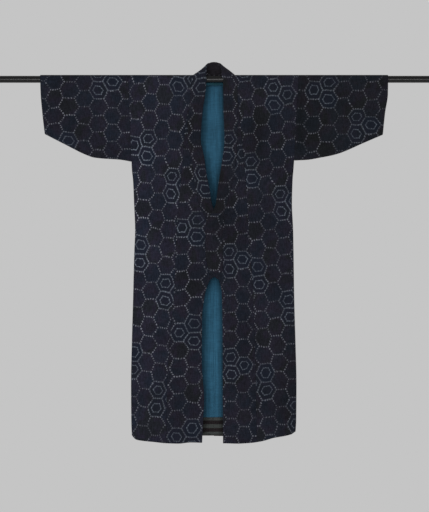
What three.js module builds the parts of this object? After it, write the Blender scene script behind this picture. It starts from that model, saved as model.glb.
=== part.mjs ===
// A lined kimono hanging flat on a rod, in millimetres.
// +Z is up, the front faces -Y, and +X is to the right of someone who looks at the front.
// The origin is the middle of the rod's axis. Left and right are those of someone who looks at the front.

import * as THREE from 'three';

// Driving sizes
const ROD_RADIUS = 12;
const ROD_LENGTH = 1560;
const ROD_FACETS = 32;
const WALL = 2.6; // outer cloth with the lining behind it
const COLLAR_WALL = 3.0; // the collar is a folded band
const COLLAR_PROUD = 0.3; // it stands in front of the panels that it is sewn to
const LINING_WALL = 1.2;
const SEAM = 0.3; // between two pieces that are sewn together
const OVER_ROD = 0.45; // between the rod and the cloth that hangs on it
const RIDE = ROD_RADIUS + OVER_ROD + WALL; // outer radius of the cloth over the rod
const EDGE_ROUND = 8; // the fold at a side seam and at the bottom of a sleeve
const LENGTH = 1225; // rod axis to the back hem
const FACING_TOP = -1166; // where the hem facing takes over from the lining
const LINING_TOP = -20;
const LINING_INSET = 30; // from the side seam
const COLLAR_END = -662;
const COLLAR_END_SLANT = 12; // its end is lower at the free edge

// Half depths of the hollow garment, from the middle plane to the outer face
const FRONT = { side: -1, edge: 8, middle: 17, flare: 4 };
const BACK = { side: 1, edge: 8, middle: 14, flare: 3 };
const LENS_FROM = 288; // outside this the cloth is at its edge depth
const LENS_OVER = 190; // and this much further in at its middle depth
const FALL = 200; // the cloth has left the rod's roundness this far down

// The fronts cross at the waist, the right one on top
const CROSSING = { top: -330, full: -425, fullTo: -672, bottom: -745, wide: 36, fade: 75 };
const CROSSING_LIFT = { left: -1.0, right: 3.2 };

// Largest soft folds: a ridge stands out, a trough goes in
const FRONT_FOLDS = [
  { xTop: 300, xLow: 296, zTop: -10, zLow: -290, width: 9, depth: -2.4 },
  { xTop: -294, xLow: -289, zTop: -60, zLow: -290, width: 10, depth: -1.6 },
  { xTop: 166, xLow: 150, zTop: -90, zLow: -390, width: 15, depth: -2.4 },
  { xTop: -205, xLow: -232, zTop: -260, zLow: -1260, width: 34, depth: 3.2 },
  { xTop: -150, xLow: -166, zTop: -300, zLow: -1200, width: 22, depth: -2.2 },
  { xTop: 205, xLow: 214, zTop: -300, zLow: -1050, width: 32, depth: 2.8 },
  { xTop: 236, xLow: 246, zTop: -900, zLow: -1330, width: 26, depth: -3.4 },
  { xTop: 70, xLow: 84, zTop: -620, zLow: -1330, width: 24, depth: 2.2 },
  { xTop: -430, xLow: -440, zTop: -60, zLow: -262, width: 30, depth: 1.8 },
  { xTop: 452, xLow: 436, zTop: -40, zLow: -262, width: 26, depth: 2.0 },
];
const BACK_FOLDS = [
  { xTop: 128, xLow: 142, zTop: -150, zLow: -1330, width: 36, depth: 3.4 },
  { xTop: -120, xLow: -150, zTop: -210, zLow: -1330, width: 34, depth: 3.0 },
  { xTop: -205, xLow: -214, zTop: -420, zLow: -1100, width: 26, depth: -2.4 },
  { xTop: 212, xLow: 220, zTop: -350, zLow: -1200, width: 28, depth: -2.2 },
  { xTop: 420, xLow: 430, zTop: -60, zLow: -262, width: 30, depth: 1.8 },
  { xTop: -446, xLow: -430, zTop: -50, zLow: -262, width: 28, depth: 1.8 },
];

// Outline tables. "left" and "right" are distances out from the middle on that side.
const BODY_SIDE = [
  { z: -270, left: 284, right: 276 },
  { z: -312, left: 281, right: 273 },
  { z: -350, left: 277, right: 270 },
  { z: -430, left: 274, right: 268 },
  { z: -520, left: 271, right: 269 },
  { z: -600, left: 273, right: 272 },
  { z: -760, left: 277, right: 276 },
  { z: -900, left: 281, right: 281 },
  { z: -1050, left: 284, right: 283 },
  { z: -1180, left: 283, right: 282 },
  { z: -1260, left: 279, right: 278 },
];
const FRONT_HEM = [
  { out: -40, left: -1252, right: -1253 },
  { out: 35, left: -1252, right: -1253 },
  { out: 80, left: -1251, right: -1254 },
  { out: 122, left: -1255, right: -1252 },
  { out: 165, left: -1254, right: -1246 },
  { out: 205, left: -1249, right: -1236 },
  { out: 246, left: -1243, right: -1230 },
  { out: 268, left: -1237, right: -1225 },
  { out: 285, left: -1222, right: -1212 },
];
const BACK_HEM = [
  { out: 0, left: -1225, right: -1225 },
  { out: 160, left: -1228, right: -1226 },
  { out: 268, left: -1230, right: -1222 },
  { out: 285, left: -1222, right: -1212 },
];
// The armhole is a straight seam from the shoulder to the underarm
const ARMHOLE = { left: { shoulder: 296, underarm: 284 }, right: { shoulder: 292, underarm: 276 } };
const UNDERARM = { left: -284, right: -279 };
// The sleeve's lower edge: "along" runs from the armhole, 0, to the cuff, 1
const SLEEVE_BOTTOM = [
  { along: 0, left: -284, right: -279 },
  { along: 0.14, left: -276, right: -275 },
  { along: 0.3, left: -272, right: -268 },
  { along: 0.43, left: -268, right: -260 },
  { along: 0.52, left: -259, right: -252 },
  { along: 0.77, left: -222, right: -218 },
  { along: 1, left: -186, right: -189 },
];
const CUFF = [
  { z: 15, left: 599, right: 600 },
  { z: -50, left: 597, right: 599 },
  { z: -120, left: 591, right: 589 },
  { z: -190, left: 583, right: 582 },
];
// The collar's outer seam, and its free edge, which goes on as the front edge below its end
const COLLAR_SEAM = [
  { z: 0, left: 77, right: 80 },
  { z: -90, left: 84, right: 81 },
  { z: -147, left: 91, right: 82 },
  { z: -209, left: 90, right: 81 },
  { z: -268, left: 79, right: 77 },
  { z: -330, left: 69, right: 68 },
  { z: -385, left: 62, right: 56 },
  { z: -430, left: 52, right: 44 },
  { z: -455, left: 41, right: 37 },
  { z: -485, left: 27, right: 31 },
  { z: -540, left: 23, right: 30 },
  { z: -600, left: 23, right: 30 },
  { z: -662, left: 27, right: 31 },
];
const FREE_EDGE = [
  { z: 0, left: 25, right: 29 },
  { z: -60, left: 30, right: 29 },
  { z: -110, left: 38, right: 30 },
  { z: -209, left: 43, right: 33 },
  { z: -268, left: 30, right: 27 },
  { z: -330, left: 22, right: 17 },
  { z: -385, left: 12, right: 9 },
  { z: -430, left: 6, right: 5 },
  { z: -455, left: -3, right: -4 },
  { z: -485, left: -23, right: -24 },
  { z: -540, left: -27, right: -29 },
  { z: -600, left: -27, right: -29 },
  { z: -640, left: -22, right: -22 },
  { z: -662, left: -9, right: -10 },
  { z: -692, left: 14, right: 15 },
  { z: -740, left: 29, right: 23 },
  { z: -830, left: 39, right: 25 },
  { z: -970, left: 39, right: 26 },
  { z: -1105, left: 28, right: 26 },
  { z: -1180, left: 33, right: 28 },
  { z: -1260, left: 40, right: 30 },
];
// The overlap panel's seam to the front, from its pointed tip down
const OVERLAP_TIP = { left: -95, right: -80 };
const OVERLAP_SEAM = [
  { z: -80, left: 86, right: 85 },
  { z: -95, left: 88, right: 86 },
  { z: -147, left: 97, right: 90 },
  { z: -261, left: 106, right: 102 },
  { z: -385, left: 117, right: 112 },
  { z: -510, left: 129, right: 119 },
  { z: -662, left: 134, right: 130 },
  { z: -740, left: 137, right: 135 },
  { z: -870, left: 149, right: 140 },
  { z: -1050, left: 161, right: 144 },
  { z: -1260, left: 165, right: 148 },
];
// Heights of the grid rows that the hanging pieces share
const ROWS = [
  -20, -60, -120, -180, -230, -330, -385, -430, -455, -485, -540, -600, -640, COLLAR_END,
  -700, -740, -830, -915, -1000, -1080, FACING_TOP,
];
// Angles over the rod, from the front, 0, over the top, 90, to the back, 180
const ARC_STEP = 22.5;
const NECK_CUT = 157.5; // the back neckline, behind the rod
const NECK_CUT_GAP = 3; // degrees between that cut and the collar sewn to it
// The collar round the neck: its seam by angle and distance out, and its free edge
const COLLAR_NECK = [
  { angle: 22.5, seam: 76, edgeOut: 26, edgeY: -18, edgeZ: 11, arch: 1 },
  { angle: 45, seam: 74.5, edgeOut: 25.5, edgeY: -14.5, edgeZ: 22, arch: 2 },
  { angle: 67.5, seam: 73, edgeOut: 25.5, edgeY: -8.5, edgeZ: 31, arch: 3 },
  { angle: 90, seam: 72, edgeOut: 25.5, edgeY: -1, edgeZ: 38.5, arch: 4 },
  { angle: 112.5, seam: 70, edgeOut: 25.5, edgeY: 5.5, edgeZ: 44, arch: 4.5 },
  { angle: 135, seam: 66, edgeOut: 25, edgeY: 11.5, edgeZ: 49, arch: 4.5 },
  { angle: NECK_CUT, seam: 58, edgeOut: 22, edgeY: 16.5, edgeZ: 53.5, arch: 4 },
  { angle: NECK_CUT, seam: 38, edgeOut: 15.5, edgeY: 20.5, edgeZ: 57.5, arch: 3 },
  { angle: NECK_CUT, seam: 19, edgeOut: 8, edgeY: 23, edgeZ: 59.5, arch: 2 },
];
const COLLAR_NAPE = { angle: NECK_CUT, seam: 0, edgeOut: 0, edgeY: 24, edgeZ: 60, arch: 1.5 };

// Materials
const CLOTH = { color: 0x2b2c37, roughness: 0.92, metalness: 0 };
const LINING = { color: 0x255a75, roughness: 0.85, metalness: 0 };
const FACING = { color: 0x3a3833, roughness: 0.9, metalness: 0 };
const ROD_FINISH = { color: 0x1f1f22, roughness: 0.38, metalness: 0.6 };

// Small helpers
function clamp(value, low, high) {
  return Math.min(Math.max(value, low), high);
}

function mix(from, to, share) {
  return from + (to - from) * share;
}

function smooth(value) {
  const t = clamp(value, 0, 1);
  return t * t * (3 - 2 * t);
}

// A smooth curve through one column of a table, which never overshoots its rows
function curve(table, along, column) {
  const rows = [...table].sort((a, b) => a[along] - b[along]);
  const at = rows.map((row) => row[along]);
  const value = rows.map((row) => row[column]);
  const rise = at.slice(1).map((x, k) => (value[k + 1] - value[k]) / (x - at[k]));
  const slope = at.map((_, k) => {
    const before = rise[Math.max(k - 1, 0)];
    const after = rise[Math.min(k, rise.length - 1)];
    return before * after <= 0 ? 0 : (2 * before * after) / (before + after);
  });
  return (x) => {
    const inside = clamp(x, at[0], at[at.length - 1]);
    const next = clamp(at.findIndex((a) => a > inside), 1, at.length - 1);
    const k = inside >= at[at.length - 1] ? at.length - 2 : next - 1;
    const span = at[k + 1] - at[k];
    const t = (inside - at[k]) / span;
    const bend = t * (1 - t) * span;
    return mix(value[k], value[k + 1], t * t * (3 - 2 * t))
      + bend * ((1 - t) * slope[k] - t * slope[k + 1]);
  };
}

// Everything that differs between the left and the right half
function makeHalf(name, sign) {
  const armhole = ARMHOLE[name];
  const underarm = UNDERARM[name];
  const special = [
    OVERLAP_TIP[name], OVERLAP_TIP[name] + 1,
    underarm + 18, underarm + EDGE_ROUND, underarm, underarm - 40,
  ];
  return {
    name,
    sign,
    underarm,
    tip: OVERLAP_TIP[name],
    lift: CROSSING_LIFT[name],
    armhole: (z) => mix(armhole.shoulder, armhole.underarm, (RIDE - z) / (RIDE - underarm)),
    bodySide: curve(BODY_SIDE, 'z', name),
    frontHem: curve(FRONT_HEM, 'out', name),
    backHem: curve(BACK_HEM, 'out', name),
    sleeveBottom: curve(SLEEVE_BOTTOM, 'along', name),
    cuff: curve(CUFF, 'z', name),
    collarSeam: curve(COLLAR_SEAM, 'z', name),
    freeEdge: curve(FREE_EDGE, 'z', name),
    overlapSeam: curve(OVERLAP_SEAM, 'z', name),
    rows: [...new Set([...ROWS, ...special])].sort((a, b) => b - a),
  };
}
const LEFT = makeHalf('left', -1);
const RIGHT = makeHalf('right', 1);

// Depth of a face's folds at a place
function foldDepth(folds, x, z) {
  return folds.reduce((sum, fold) => {
    const t = (fold.zTop - z) / (fold.zTop - fold.zLow);
    if (t <= 0 || t >= 1) return sum;
    const off = (x - mix(fold.xTop, fold.xLow, t)) / fold.width;
    return sum + fold.depth * Math.exp(-off * off) * smooth(t * 4) * smooth((1 - t) * 4);
  }, 0);
}

// How fully a place lies where the fronts cross
function crossing(x, z) {
  const down = smooth((CROSSING.top - z) / (CROSSING.top - CROSSING.full));
  const up = smooth((z - CROSSING.bottom) / (CROSSING.fullTo - CROSSING.bottom));
  const across = 1 - smooth((Math.abs(x) - CROSSING.wide) / CROSSING.fade);
  return down * up * across;
}

// Distance from the middle plane to the outer face
function halfDepth(face, half, x, z) {
  const inward = smooth((LENS_FROM - Math.abs(x)) / LENS_OVER);
  const low = face.edge + (face.middle - face.edge + (face.flare * -z) / LENGTH) * inward;
  const plain = mix(RIDE, low, smooth(-z / FALL));
  if (face === BACK) return plain + foldDepth(BACK_FOLDS, x, z);
  return plain + foldDepth(FRONT_FOLDS, x, z) + half.lift * crossing(x, z);
}

// The round fold at a closed edge: 0 at the edge, 1 from the rounding inwards
function curl(near, round) {
  const t = clamp(near / round, 0, 1);
  return Math.sqrt(1 - (1 - t) ** 2);
}

// A point of a hanging face. "near" is the distance from the closed edge, "inset" the depth
// under the outer face.
function facePoint(face, half, out, z, near, inset) {
  const x = half.sign * out;
  const round = curl(near - inset, EDGE_ROUND - inset);
  const depth = (halfDepth(face, half, x, z) - inset) * round;
  return new THREE.Vector3(x, face.side * Math.max(depth, SEAM / 2), z);
}

// A point of the cloth over the rod
function arcPoint(half, out, angle, inset) {
  const turn = THREE.MathUtils.degToRad(angle);
  const radius = RIDE - inset;
  return new THREE.Vector3(half.sign * out, -radius * Math.cos(turn), radius * Math.sin(turn));
}

// How far the inner face's points step in from a closed edge, so that the wall keeps its thickness
function stepIn(near, inset) {
  return inset * Math.max(1 - near / EDGE_ROUND, 0);
}

// A closed wall between an outer and an inner grid of points. "kept" tells which squares exist.
function wallGeometry({ outer, inner, kept = () => true, looped = false }) {
  const rowCount = outer.length;
  const columnCount = outer[0].length;
  const squareRows = looped ? rowCount : rowCount - 1;
  const points = [...outer.flat(), ...inner.flat()];
  const index = (row, column, layer) =>
    layer * rowCount * columnCount + (row % rowCount) * columnCount + column;
  const exists = (row, column) => {
    const inColumns = column >= 0 && column < columnCount - 1;
    const inRows = looped || (row >= 0 && row < squareRows);
    return inColumns && inRows && kept((row + squareRows) % squareRows, column);
  };
  const faces = [];
  const quad = (a, b, c, d) => faces.push([a, b, c], [a, c, d]);
  for (let row = 0; row < squareRows; row += 1) {
    for (let column = 0; column < columnCount - 1; column += 1) {
      if (!exists(row, column)) continue;
      const corners = [[row, column], [row + 1, column], [row + 1, column + 1], [row, column + 1]];
      const [a, b, c, d] = corners.map(([r, k]) => index(r, k, 0));
      const [e, f, g, h] = corners.map(([r, k]) => index(r, k, 1));
      quad(a, b, c, d);
      quad(e, h, g, f);
      if (!exists(row, column - 1)) quad(b, a, e, f);
      if (!exists(row + 1, column)) quad(c, b, f, g);
      if (!exists(row, column + 1)) quad(d, c, g, h);
      if (!exists(row - 1, column)) quad(a, d, h, e);
    }
  }
  return closedGeometry(points, faces);
}

// A geometry whose faces all look outwards
function closedGeometry(points, faces) {
  const volume = faces.reduce((sum, [a, b, c]) => {
    const normal = new THREE.Vector3().crossVectors(points[b], points[c]);
    return sum + points[a].dot(normal);
  }, 0);
  const turned = volume < 0 ? faces.map(([a, b, c]) => [a, c, b]) : faces;
  const used = [...new Set(turned.flat())];
  const place = new Map(used.map((point, k) => [point, k]));
  const geometry = new THREE.BufferGeometry();
  geometry.setFromPoints(used.map((point) => points[point]));
  geometry.setIndex(turned.flat().map((point) => place.get(point)));
  geometry.computeVertexNormals();
  return geometry;
}

// Angles of the grid rows over the rod, ends included
function arcAngles() {
  const steps = Math.round(180 / ARC_STEP);
  return Array.from({ length: steps + 1 }, (_, k) => k * ARC_STEP);
}

// Where the body's cloth ends at the neck, over the rod
function neckOut(half, angle) {
  const front = { angle: 0, seam: half.collarSeam(0) };
  const corner = COLLAR_NECK.findIndex((row) => row.angle === NECK_CUT);
  const table = [front, ...COLLAR_NECK.slice(0, corner + 1)];
  return curve(table, 'angle', 'seam')(angle);
}

// Body: one length of cloth from the front hem over the shoulder to the back hem
const BODY_COLUMNS = {
  near: [0, 2.5, EDGE_ROUND, LINING_INSET], // distances in from the outer edge
  share: [0.2, 0.4, 0.6, 0.8, 1], // then on to the inner seam
  back: [0.33, 0.67, 1], // and on the back from there to the middle seam
};

function bodyColumns(edge, inner) {
  const last = BODY_COLUMNS.near[BODY_COLUMNS.near.length - 1];
  return [
    ...BODY_COLUMNS.near.map((near) => ({ out: edge - near, near })),
    ...BODY_COLUMNS.share.map((share) => ({ out: mix(edge - last, inner, share), near: last })),
  ];
}

function bodyRow(face, half, z, layer) {
  const hanging = z !== 'hem';
  const hem = face === FRONT ? half.frontHem : half.backHem;
  const level = hanging ? z : -LENGTH;
  const above = level > half.underarm;
  const edge = above ? half.armhole(level) - SEAM / 2 : half.bodySide(level);
  const seam = level > half.tip ? half.collarSeam(level) : half.overlapSeam(level);
  const inner = face === FRONT ? seam + SEAM / 2 : neckOut(half, NECK_CUT);
  const columns = bodyColumns(edge, inner);
  const middle = BODY_COLUMNS.back.map((share) => ({
    out: mix(inner, SEAM / 2, share),
    near: LINING_INSET,
  }));
  return [...columns, ...middle].map(({ out, near }) => {
    const height = hanging ? z : hem(out);
    const reach = above ? Math.hypot(near, height - half.underarm) : near;
    const step = above ? 0 : stepIn(near, layer);
    return facePoint(face, half, out - step, height, reach + step, layer);
  });
}

function bodyArcRow(half, angle, layer) {
  const height = RIDE * Math.sin(THREE.MathUtils.degToRad(angle));
  const inner = neckOut(half, angle) + (angle < NECK_CUT ? SEAM / 2 : 0);
  const columns = bodyColumns(half.armhole(height) - SEAM / 2, inner);
  const middle = BODY_COLUMNS.back.map((share) => ({ out: mix(inner, SEAM / 2, share) }));
  return [...columns, ...middle].map(({ out }) => arcPoint(half, out, angle, layer));
}

function body(half) {
  const grid = (layer) => [
    bodyRow(FRONT, half, 'hem', layer),
    ...[...half.rows].reverse().map((z) => bodyRow(FRONT, half, z, layer)),
    ...arcAngles().map((angle) => bodyArcRow(half, angle, layer)),
    ...half.rows.map((z) => bodyRow(BACK, half, z, layer)),
    bodyRow(BACK, half, 'hem', layer),
  ];
  const sideColumns = BODY_COLUMNS.near.length + BODY_COLUMNS.share.length - 1;
  const cutRow = 1 + half.rows.length + NECK_CUT / ARC_STEP;
  return wallGeometry({
    outer: grid(0),
    inner: grid(WALL),
    kept: (row, column) => column < sideColumns || row >= cutRow,
  });
}

// Lining and hem facing inside the back, on the back's own points
function backLayer(half, fromZ, toHem) {
  const inset = WALL + SEAM;
  const from = half.rows.indexOf(fromZ);
  const to = toHem ? half.rows.length : half.rows.indexOf(FACING_TOP) + 1;
  const firstColumn = BODY_COLUMNS.near.length - 1;
  const rows = half.rows.slice(from, to);
  const grid = (layer) => {
    const hanging = rows.map((z) => bodyRow(BACK, half, z, layer).slice(firstColumn));
    const hem = toHem ? [bodyRow(BACK, half, 'hem', layer).slice(firstColumn)] : [];
    return [...hanging, ...hem];
  };
  const outer = grid(inset);
  const inner = grid(inset + LINING_WALL);
  if (!toHem) {
    [outer, inner].forEach((layer) => layer[layer.length - 1].forEach((point) => {
      point.z += SEAM;
    }));
  }
  return wallGeometry({ outer, inner });
}

// Sleeve: one piece folded over the rod and closed along its lower edge
const SLEEVE_ALONG = [0, 0.14, 0.3, 0.43, 0.52, 0.77, 1];
const SLEEVE_NEAR = [2.5, EDGE_ROUND, 45];
const SLEEVE_SHARE = [0.3, 0.6, 0.85];

function sleeveHeights(bottom) {
  const last = SLEEVE_NEAR[SLEEVE_NEAR.length - 1];
  return [
    ...SLEEVE_NEAR.map((near) => ({ z: bottom + near, near })),
    ...SLEEVE_SHARE.map((share) => ({ z: mix(bottom + last, 0, share), near: last })),
  ];
}

function sleeveColumn(half, along, layer) {
  const bottom = half.sleeveBottom(along);
  const outAt = (z) => mix(half.armhole(z) + SEAM / 2, half.cuff(z), along);
  const hang = (face) => sleeveHeights(bottom).map(({ z, near }) => {
    const step = stepIn(near, layer);
    return facePoint(face, half, outAt(z), z + step, near + step, layer);
  });
  const fold = new THREE.Vector3(half.sign * outAt(bottom), 0, bottom + layer);
  const over = arcAngles().map((angle) => {
    const height = RIDE * Math.sin(THREE.MathUtils.degToRad(angle));
    return arcPoint(half, outAt(height), angle, layer);
  });
  return [fold, ...hang(FRONT), ...over, ...hang(BACK).reverse()];
}

function sleeve(half) {
  const grid = (layer) => {
    const columns = SLEEVE_ALONG.map((along) => sleeveColumn(half, along, layer));
    return columns[0].map((_, row) => columns.map((column) => column[row]));
  };
  return wallGeometry({ outer: grid(0), inner: grid(WALL), looped: true });
}

// Overlap panel: a long wedge between the front and the collar, and below the collar's end
// the front edge itself
const OVERLAP_SHARE = [0, 0.35, 0.7, 1];
const OVERLAP_EDGE_SHARE = [0.5, 1];

function overlapRow(half, z, layer) {
  const level = z === 'hem' ? -LENGTH : z;
  const seam = half.overlapSeam(level) - SEAM / 2;
  const above = level > COLLAR_END;
  const edge = half.freeEdge(level);
  const turnShare = (half.overlapSeam(COLLAR_END) - half.collarSeam(COLLAR_END))
    / (half.overlapSeam(COLLAR_END) - half.freeEdge(COLLAR_END));
  const turn = above ? half.collarSeam(level) + SEAM / 2 : mix(seam, edge, turnShare);
  const outs = [
    ...OVERLAP_SHARE.map((share) => ({ out: mix(seam, turn, share), drop: 0 })),
    ...OVERLAP_EDGE_SHARE.map((share) => ({
      out: mix(turn, edge, share),
      drop: level === COLLAR_END ? COLLAR_END_SLANT * share : 0,
    })),
  ];
  return outs.map(({ out, drop }) => {
    const height = z === 'hem' ? half.frontHem(out) : z - drop;
    return facePoint(FRONT, half, out, height, LINING_INSET, layer);
  });
}

function overlapPanel(half) {
  const rows = half.rows.filter((z) => z <= half.tip);
  const endRow = rows.indexOf(COLLAR_END);
  const grid = (layer) => [
    ...rows.map((z) => overlapRow(half, z, layer)),
    overlapRow(half, 'hem', layer),
  ];
  return wallGeometry({
    outer: grid(0),
    inner: grid(WALL),
    kept: (row, column) => column < OVERLAP_SHARE.length - 1 || row >= endRow,
  });
}

// Collar: one folded band from the left end, round the neck, to the right end
const COLLAR_SHARE = [0, 0.25, 0.5, 0.75, 1];

function collarFrontRow(half, z) {
  const seam = half.collarSeam(z) - SEAM / 2;
  const edge = half.freeEdge(z);
  const columns = COLLAR_SHARE.map((share) => ({
    out: mix(seam, edge, share),
    height: z === COLLAR_END ? z + SEAM - COLLAR_END_SLANT * share : z,
  }));
  const layer = (inset) => columns.map(({ out, height }) =>
    facePoint(FRONT, half, out, height, LINING_INSET, inset));
  return { outer: layer(-COLLAR_PROUD), inner: layer(COLLAR_WALL - COLLAR_PROUD) };
}

function collarNeckRow(half, row) {
  const gap = row.angle === NECK_CUT ? NECK_CUT_GAP : 0;
  const seam = arcPoint(half, row.seam - SEAM, row.angle - gap, -COLLAR_PROUD);
  const inside = arcPoint(half, row.seam - SEAM, row.angle - gap, COLLAR_WALL - COLLAR_PROUD);
  const edge = new THREE.Vector3(half.sign * row.edgeOut, row.edgeY, row.edgeZ);
  return { seam, inside, edge, arch: row.arch };
}

// Outward direction of the band at the neck: away from the neck's middle, square to the band
function collarOutward(seam, edge) {
  const band = edge.clone().sub(seam).normalize();
  const away = new THREE.Vector3(seam.x * 0.6, seam.y, 0).normalize().add(new THREE.Vector3(0, 0, 0.6));
  return away.sub(band.clone().multiplyScalar(away.dot(band))).normalize();
}

function collarNeckLayers({ seam, inside, edge, arch }) {
  const outward = collarOutward(seam, edge);
  const rise = (share) => 4 * share * (1 - share) * arch;
  const outer = COLLAR_SHARE.map((share) =>
    seam.clone().lerp(edge, share).addScaledVector(outward, rise(share)));
  const atSeam = inside.clone().sub(seam);
  const away = outward.clone().multiplyScalar(-COLLAR_WALL);
  const inner = outer.map((point, k) =>
    point.clone().add(atSeam.clone().lerp(away, Math.min(COLLAR_SHARE[k] * 2, 1))));
  return { outer, inner };
}

function collarHalf(half) {
  const fronts = half.rows.filter((z) => z >= COLLAR_END).reverse().map((z) => collarFrontRow(half, z));
  const shoulder = collarFrontRow(half, 0);
  const neck = COLLAR_NECK.map((row) => collarNeckLayers(collarNeckRow(half, row)));
  return [...fronts, shoulder, ...neck];
}

function collar() {
  const nape = collarNeckRow(RIGHT, COLLAR_NAPE);
  nape.seam.x = 0;
  nape.inside.x = 0;
  const stations = [...collarHalf(LEFT), collarNeckLayers(nape), ...collarHalf(RIGHT).reverse()];
  return wallGeometry({
    outer: stations.map((station) => station.outer),
    inner: stations.map((station) => station.inner),
  });
}

// Rod: plain, along X, through both sleeves
function rod() {
  const geometry = new THREE.CylinderGeometry(ROD_RADIUS, ROD_RADIUS, ROD_LENGTH, ROD_FACETS);
  geometry.rotateZ(Math.PI / 2);
  return geometry;
}

function add(group, name, geometry, look) {
  const mesh = new THREE.Mesh(geometry, new THREE.MeshStandardMaterial(look));
  mesh.name = name;
  group.add(mesh);
}

const kimono = new THREE.Group();
add(kimono, 'rod', rod(), ROD_FINISH);
add(kimono, 'collar', collar(), CLOTH);
[LEFT, RIGHT].forEach((half) => {
  add(kimono, `body_${half.name}`, body(half), CLOTH);
  add(kimono, `sleeve_${half.name}`, sleeve(half), CLOTH);
  add(kimono, `overlap_panel_${half.name}`, overlapPanel(half), CLOTH);
  add(kimono, `back_lining_${half.name}`, backLayer(half, LINING_TOP, false), LINING);
  add(kimono, `hem_facing_${half.name}`, backLayer(half, FACING_TOP, true), FACING);
});

export default kimono;
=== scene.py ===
"""The looks of a lined kimono that hangs flat on a rod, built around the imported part.

Shapes are worked out in millimetres, in the part's own frame, and become metres when a mesh is made.
+Z is up, the front faces -Y, and left and right are those of someone who looks at the front.
"""

import math
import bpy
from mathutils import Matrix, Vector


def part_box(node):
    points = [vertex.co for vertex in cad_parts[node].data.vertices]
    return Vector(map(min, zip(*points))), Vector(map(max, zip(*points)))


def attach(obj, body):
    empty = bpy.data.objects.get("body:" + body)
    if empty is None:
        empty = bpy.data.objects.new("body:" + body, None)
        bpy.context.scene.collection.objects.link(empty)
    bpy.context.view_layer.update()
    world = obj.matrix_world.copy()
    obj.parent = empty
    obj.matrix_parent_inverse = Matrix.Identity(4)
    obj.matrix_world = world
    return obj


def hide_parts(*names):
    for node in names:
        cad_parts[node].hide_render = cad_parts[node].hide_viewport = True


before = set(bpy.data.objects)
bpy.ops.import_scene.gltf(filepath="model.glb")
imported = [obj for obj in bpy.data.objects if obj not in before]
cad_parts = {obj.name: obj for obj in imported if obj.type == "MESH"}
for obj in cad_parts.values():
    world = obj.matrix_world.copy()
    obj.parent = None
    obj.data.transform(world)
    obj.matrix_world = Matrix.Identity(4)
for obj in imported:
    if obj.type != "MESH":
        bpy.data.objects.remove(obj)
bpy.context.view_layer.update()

from types import SimpleNamespace

import bpy
import numpy as np
from mathutils import Vector

bl_info = {
    "name": "Kimono on a rod",
    "version": (1, 0, 0),
    "blender": (4, 5, 0),
    "location": "View3D > Sidebar > Kimono",
    "description": "Makes each sewn piece of a lined kimono, its rod and a plain studio",
    "category": "Object",
}

MM = 0.001

# Driving sizes, in millimetres, as the solids have them
ROD_RADIUS = 12
ROD_END_ROUND = 1.2
ROD_GAP = 0.45
WALL = 2.6 # cloth and lining together
COLLAR_WALL = 3.0
COLLAR_PROUD = 0.3 # how far the collar stands out from the cloth beside it
LINING_WALL = 1.2
SEAM = 0.3 # between layers
SEWN = -0.1 # between the pieces at a seam, less than nothing, so that each reaches into the other
RIDE = ROD_RADIUS + ROD_GAP + WALL
EDGE_ROUND = 8
LENGTH = 1225 # about, from the rod's axis to the hem
FACING_TOP = -1166
LINING_TOP = -20
LINING_INSET = 30 # from the side seam
FACING_ABOVE_HEM = 7
COLLAR_BAND = 52
COLLAR_END = -662
COLLAR_END_SLANT = 12 # how much lower the free corner of the end is
SLANT_OVER = 30 # height above the end over which its slant begins
TURN_END = -692 # where the slant of the collar's end no longer shows in the front edge
SLEEVE_WIDTH = 305
LENS_FROM = 288 # from here inwards the garment grows deeper
LENS_OVER = 190 # over this width
FALL = 200 # height over which the cloth leaves the rod's level
FINE_FALL = 50 # and over which the finer relief begins
NECK_CUT = 157.5 # degrees over the rod, counted from the front
NECK_CUT_GAP = 3
ARC_PER_DEGREE = 0.26 # about, of the cloth over the rod

# Widths and lengths of the cut, for the sheets' flat sizes
SHOULDER_CUT = 215

# Steps of the grids, which are finer beside edges
HANG_TOP = -6 # first row below the rod
ROW_STEP = 8
NECK_STEP = 5
ARC_STEP = 7.5 # degrees
ARC_ROWS = int(180 / ARC_STEP) + 1
LIP = 1.3 # radius of a turned edge
LIP_SHARE = 0.86 # of that radius by which each face turns in
LIP_STEPS = np.array([4.5, 1.3, 0.4, 0])
SIDE_STEPS = np.array([0, 0.4, 1.3, 2.5, 5, 8, 14, 22, LINING_INSET])
UNDERARM_STEPS = (-3, 1, 3, 5.5, 8, 18) # up from the underarm
FOLD_STEPS = np.array([0.9, 2.5, 5, 8, 15, 25, 35, 45]) # up from the sleeve's lower fold
FAR = 99 # farther than any turned edge reaches
ROD_RINGS = 41
ROD_SIDES = 72
# Even places across the plain part of each grid, both ends counted
EVEN = SimpleNamespace(
    body=25, middle=10, sleeve=38, sleeve_rows=29, overlap=16, turned=8, collar=9, inside=31
)

# How far each face lies from the middle plane: at a closed edge, in the middle, and what the
# middle gains down to the hem
FRONT = SimpleNamespace(side=-1, edge=8, middle=17, flare=4)
BACK = SimpleNamespace(side=1, edge=8, middle=14, flare=3)
# Where the fronts cross: from "top" to "bottom", fully from "full" to "full_to", so far out from
# the middle, and over what width that fades
CROSSING = SimpleNamespace(top=-330, full=-425, full_to=-672, bottom=-745, wide=36, fade=75)
# Small ripples of the lining beside the middle
RIPPLE = SimpleNamespace(depth=0.3, tall=17, wide=9, reach=45, top=-60)


def table(names, *rows):
    """Rows of numbers as a dictionary with one array for each named column."""
    return dict(zip(names.split(), np.array(rows, float).T))


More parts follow.
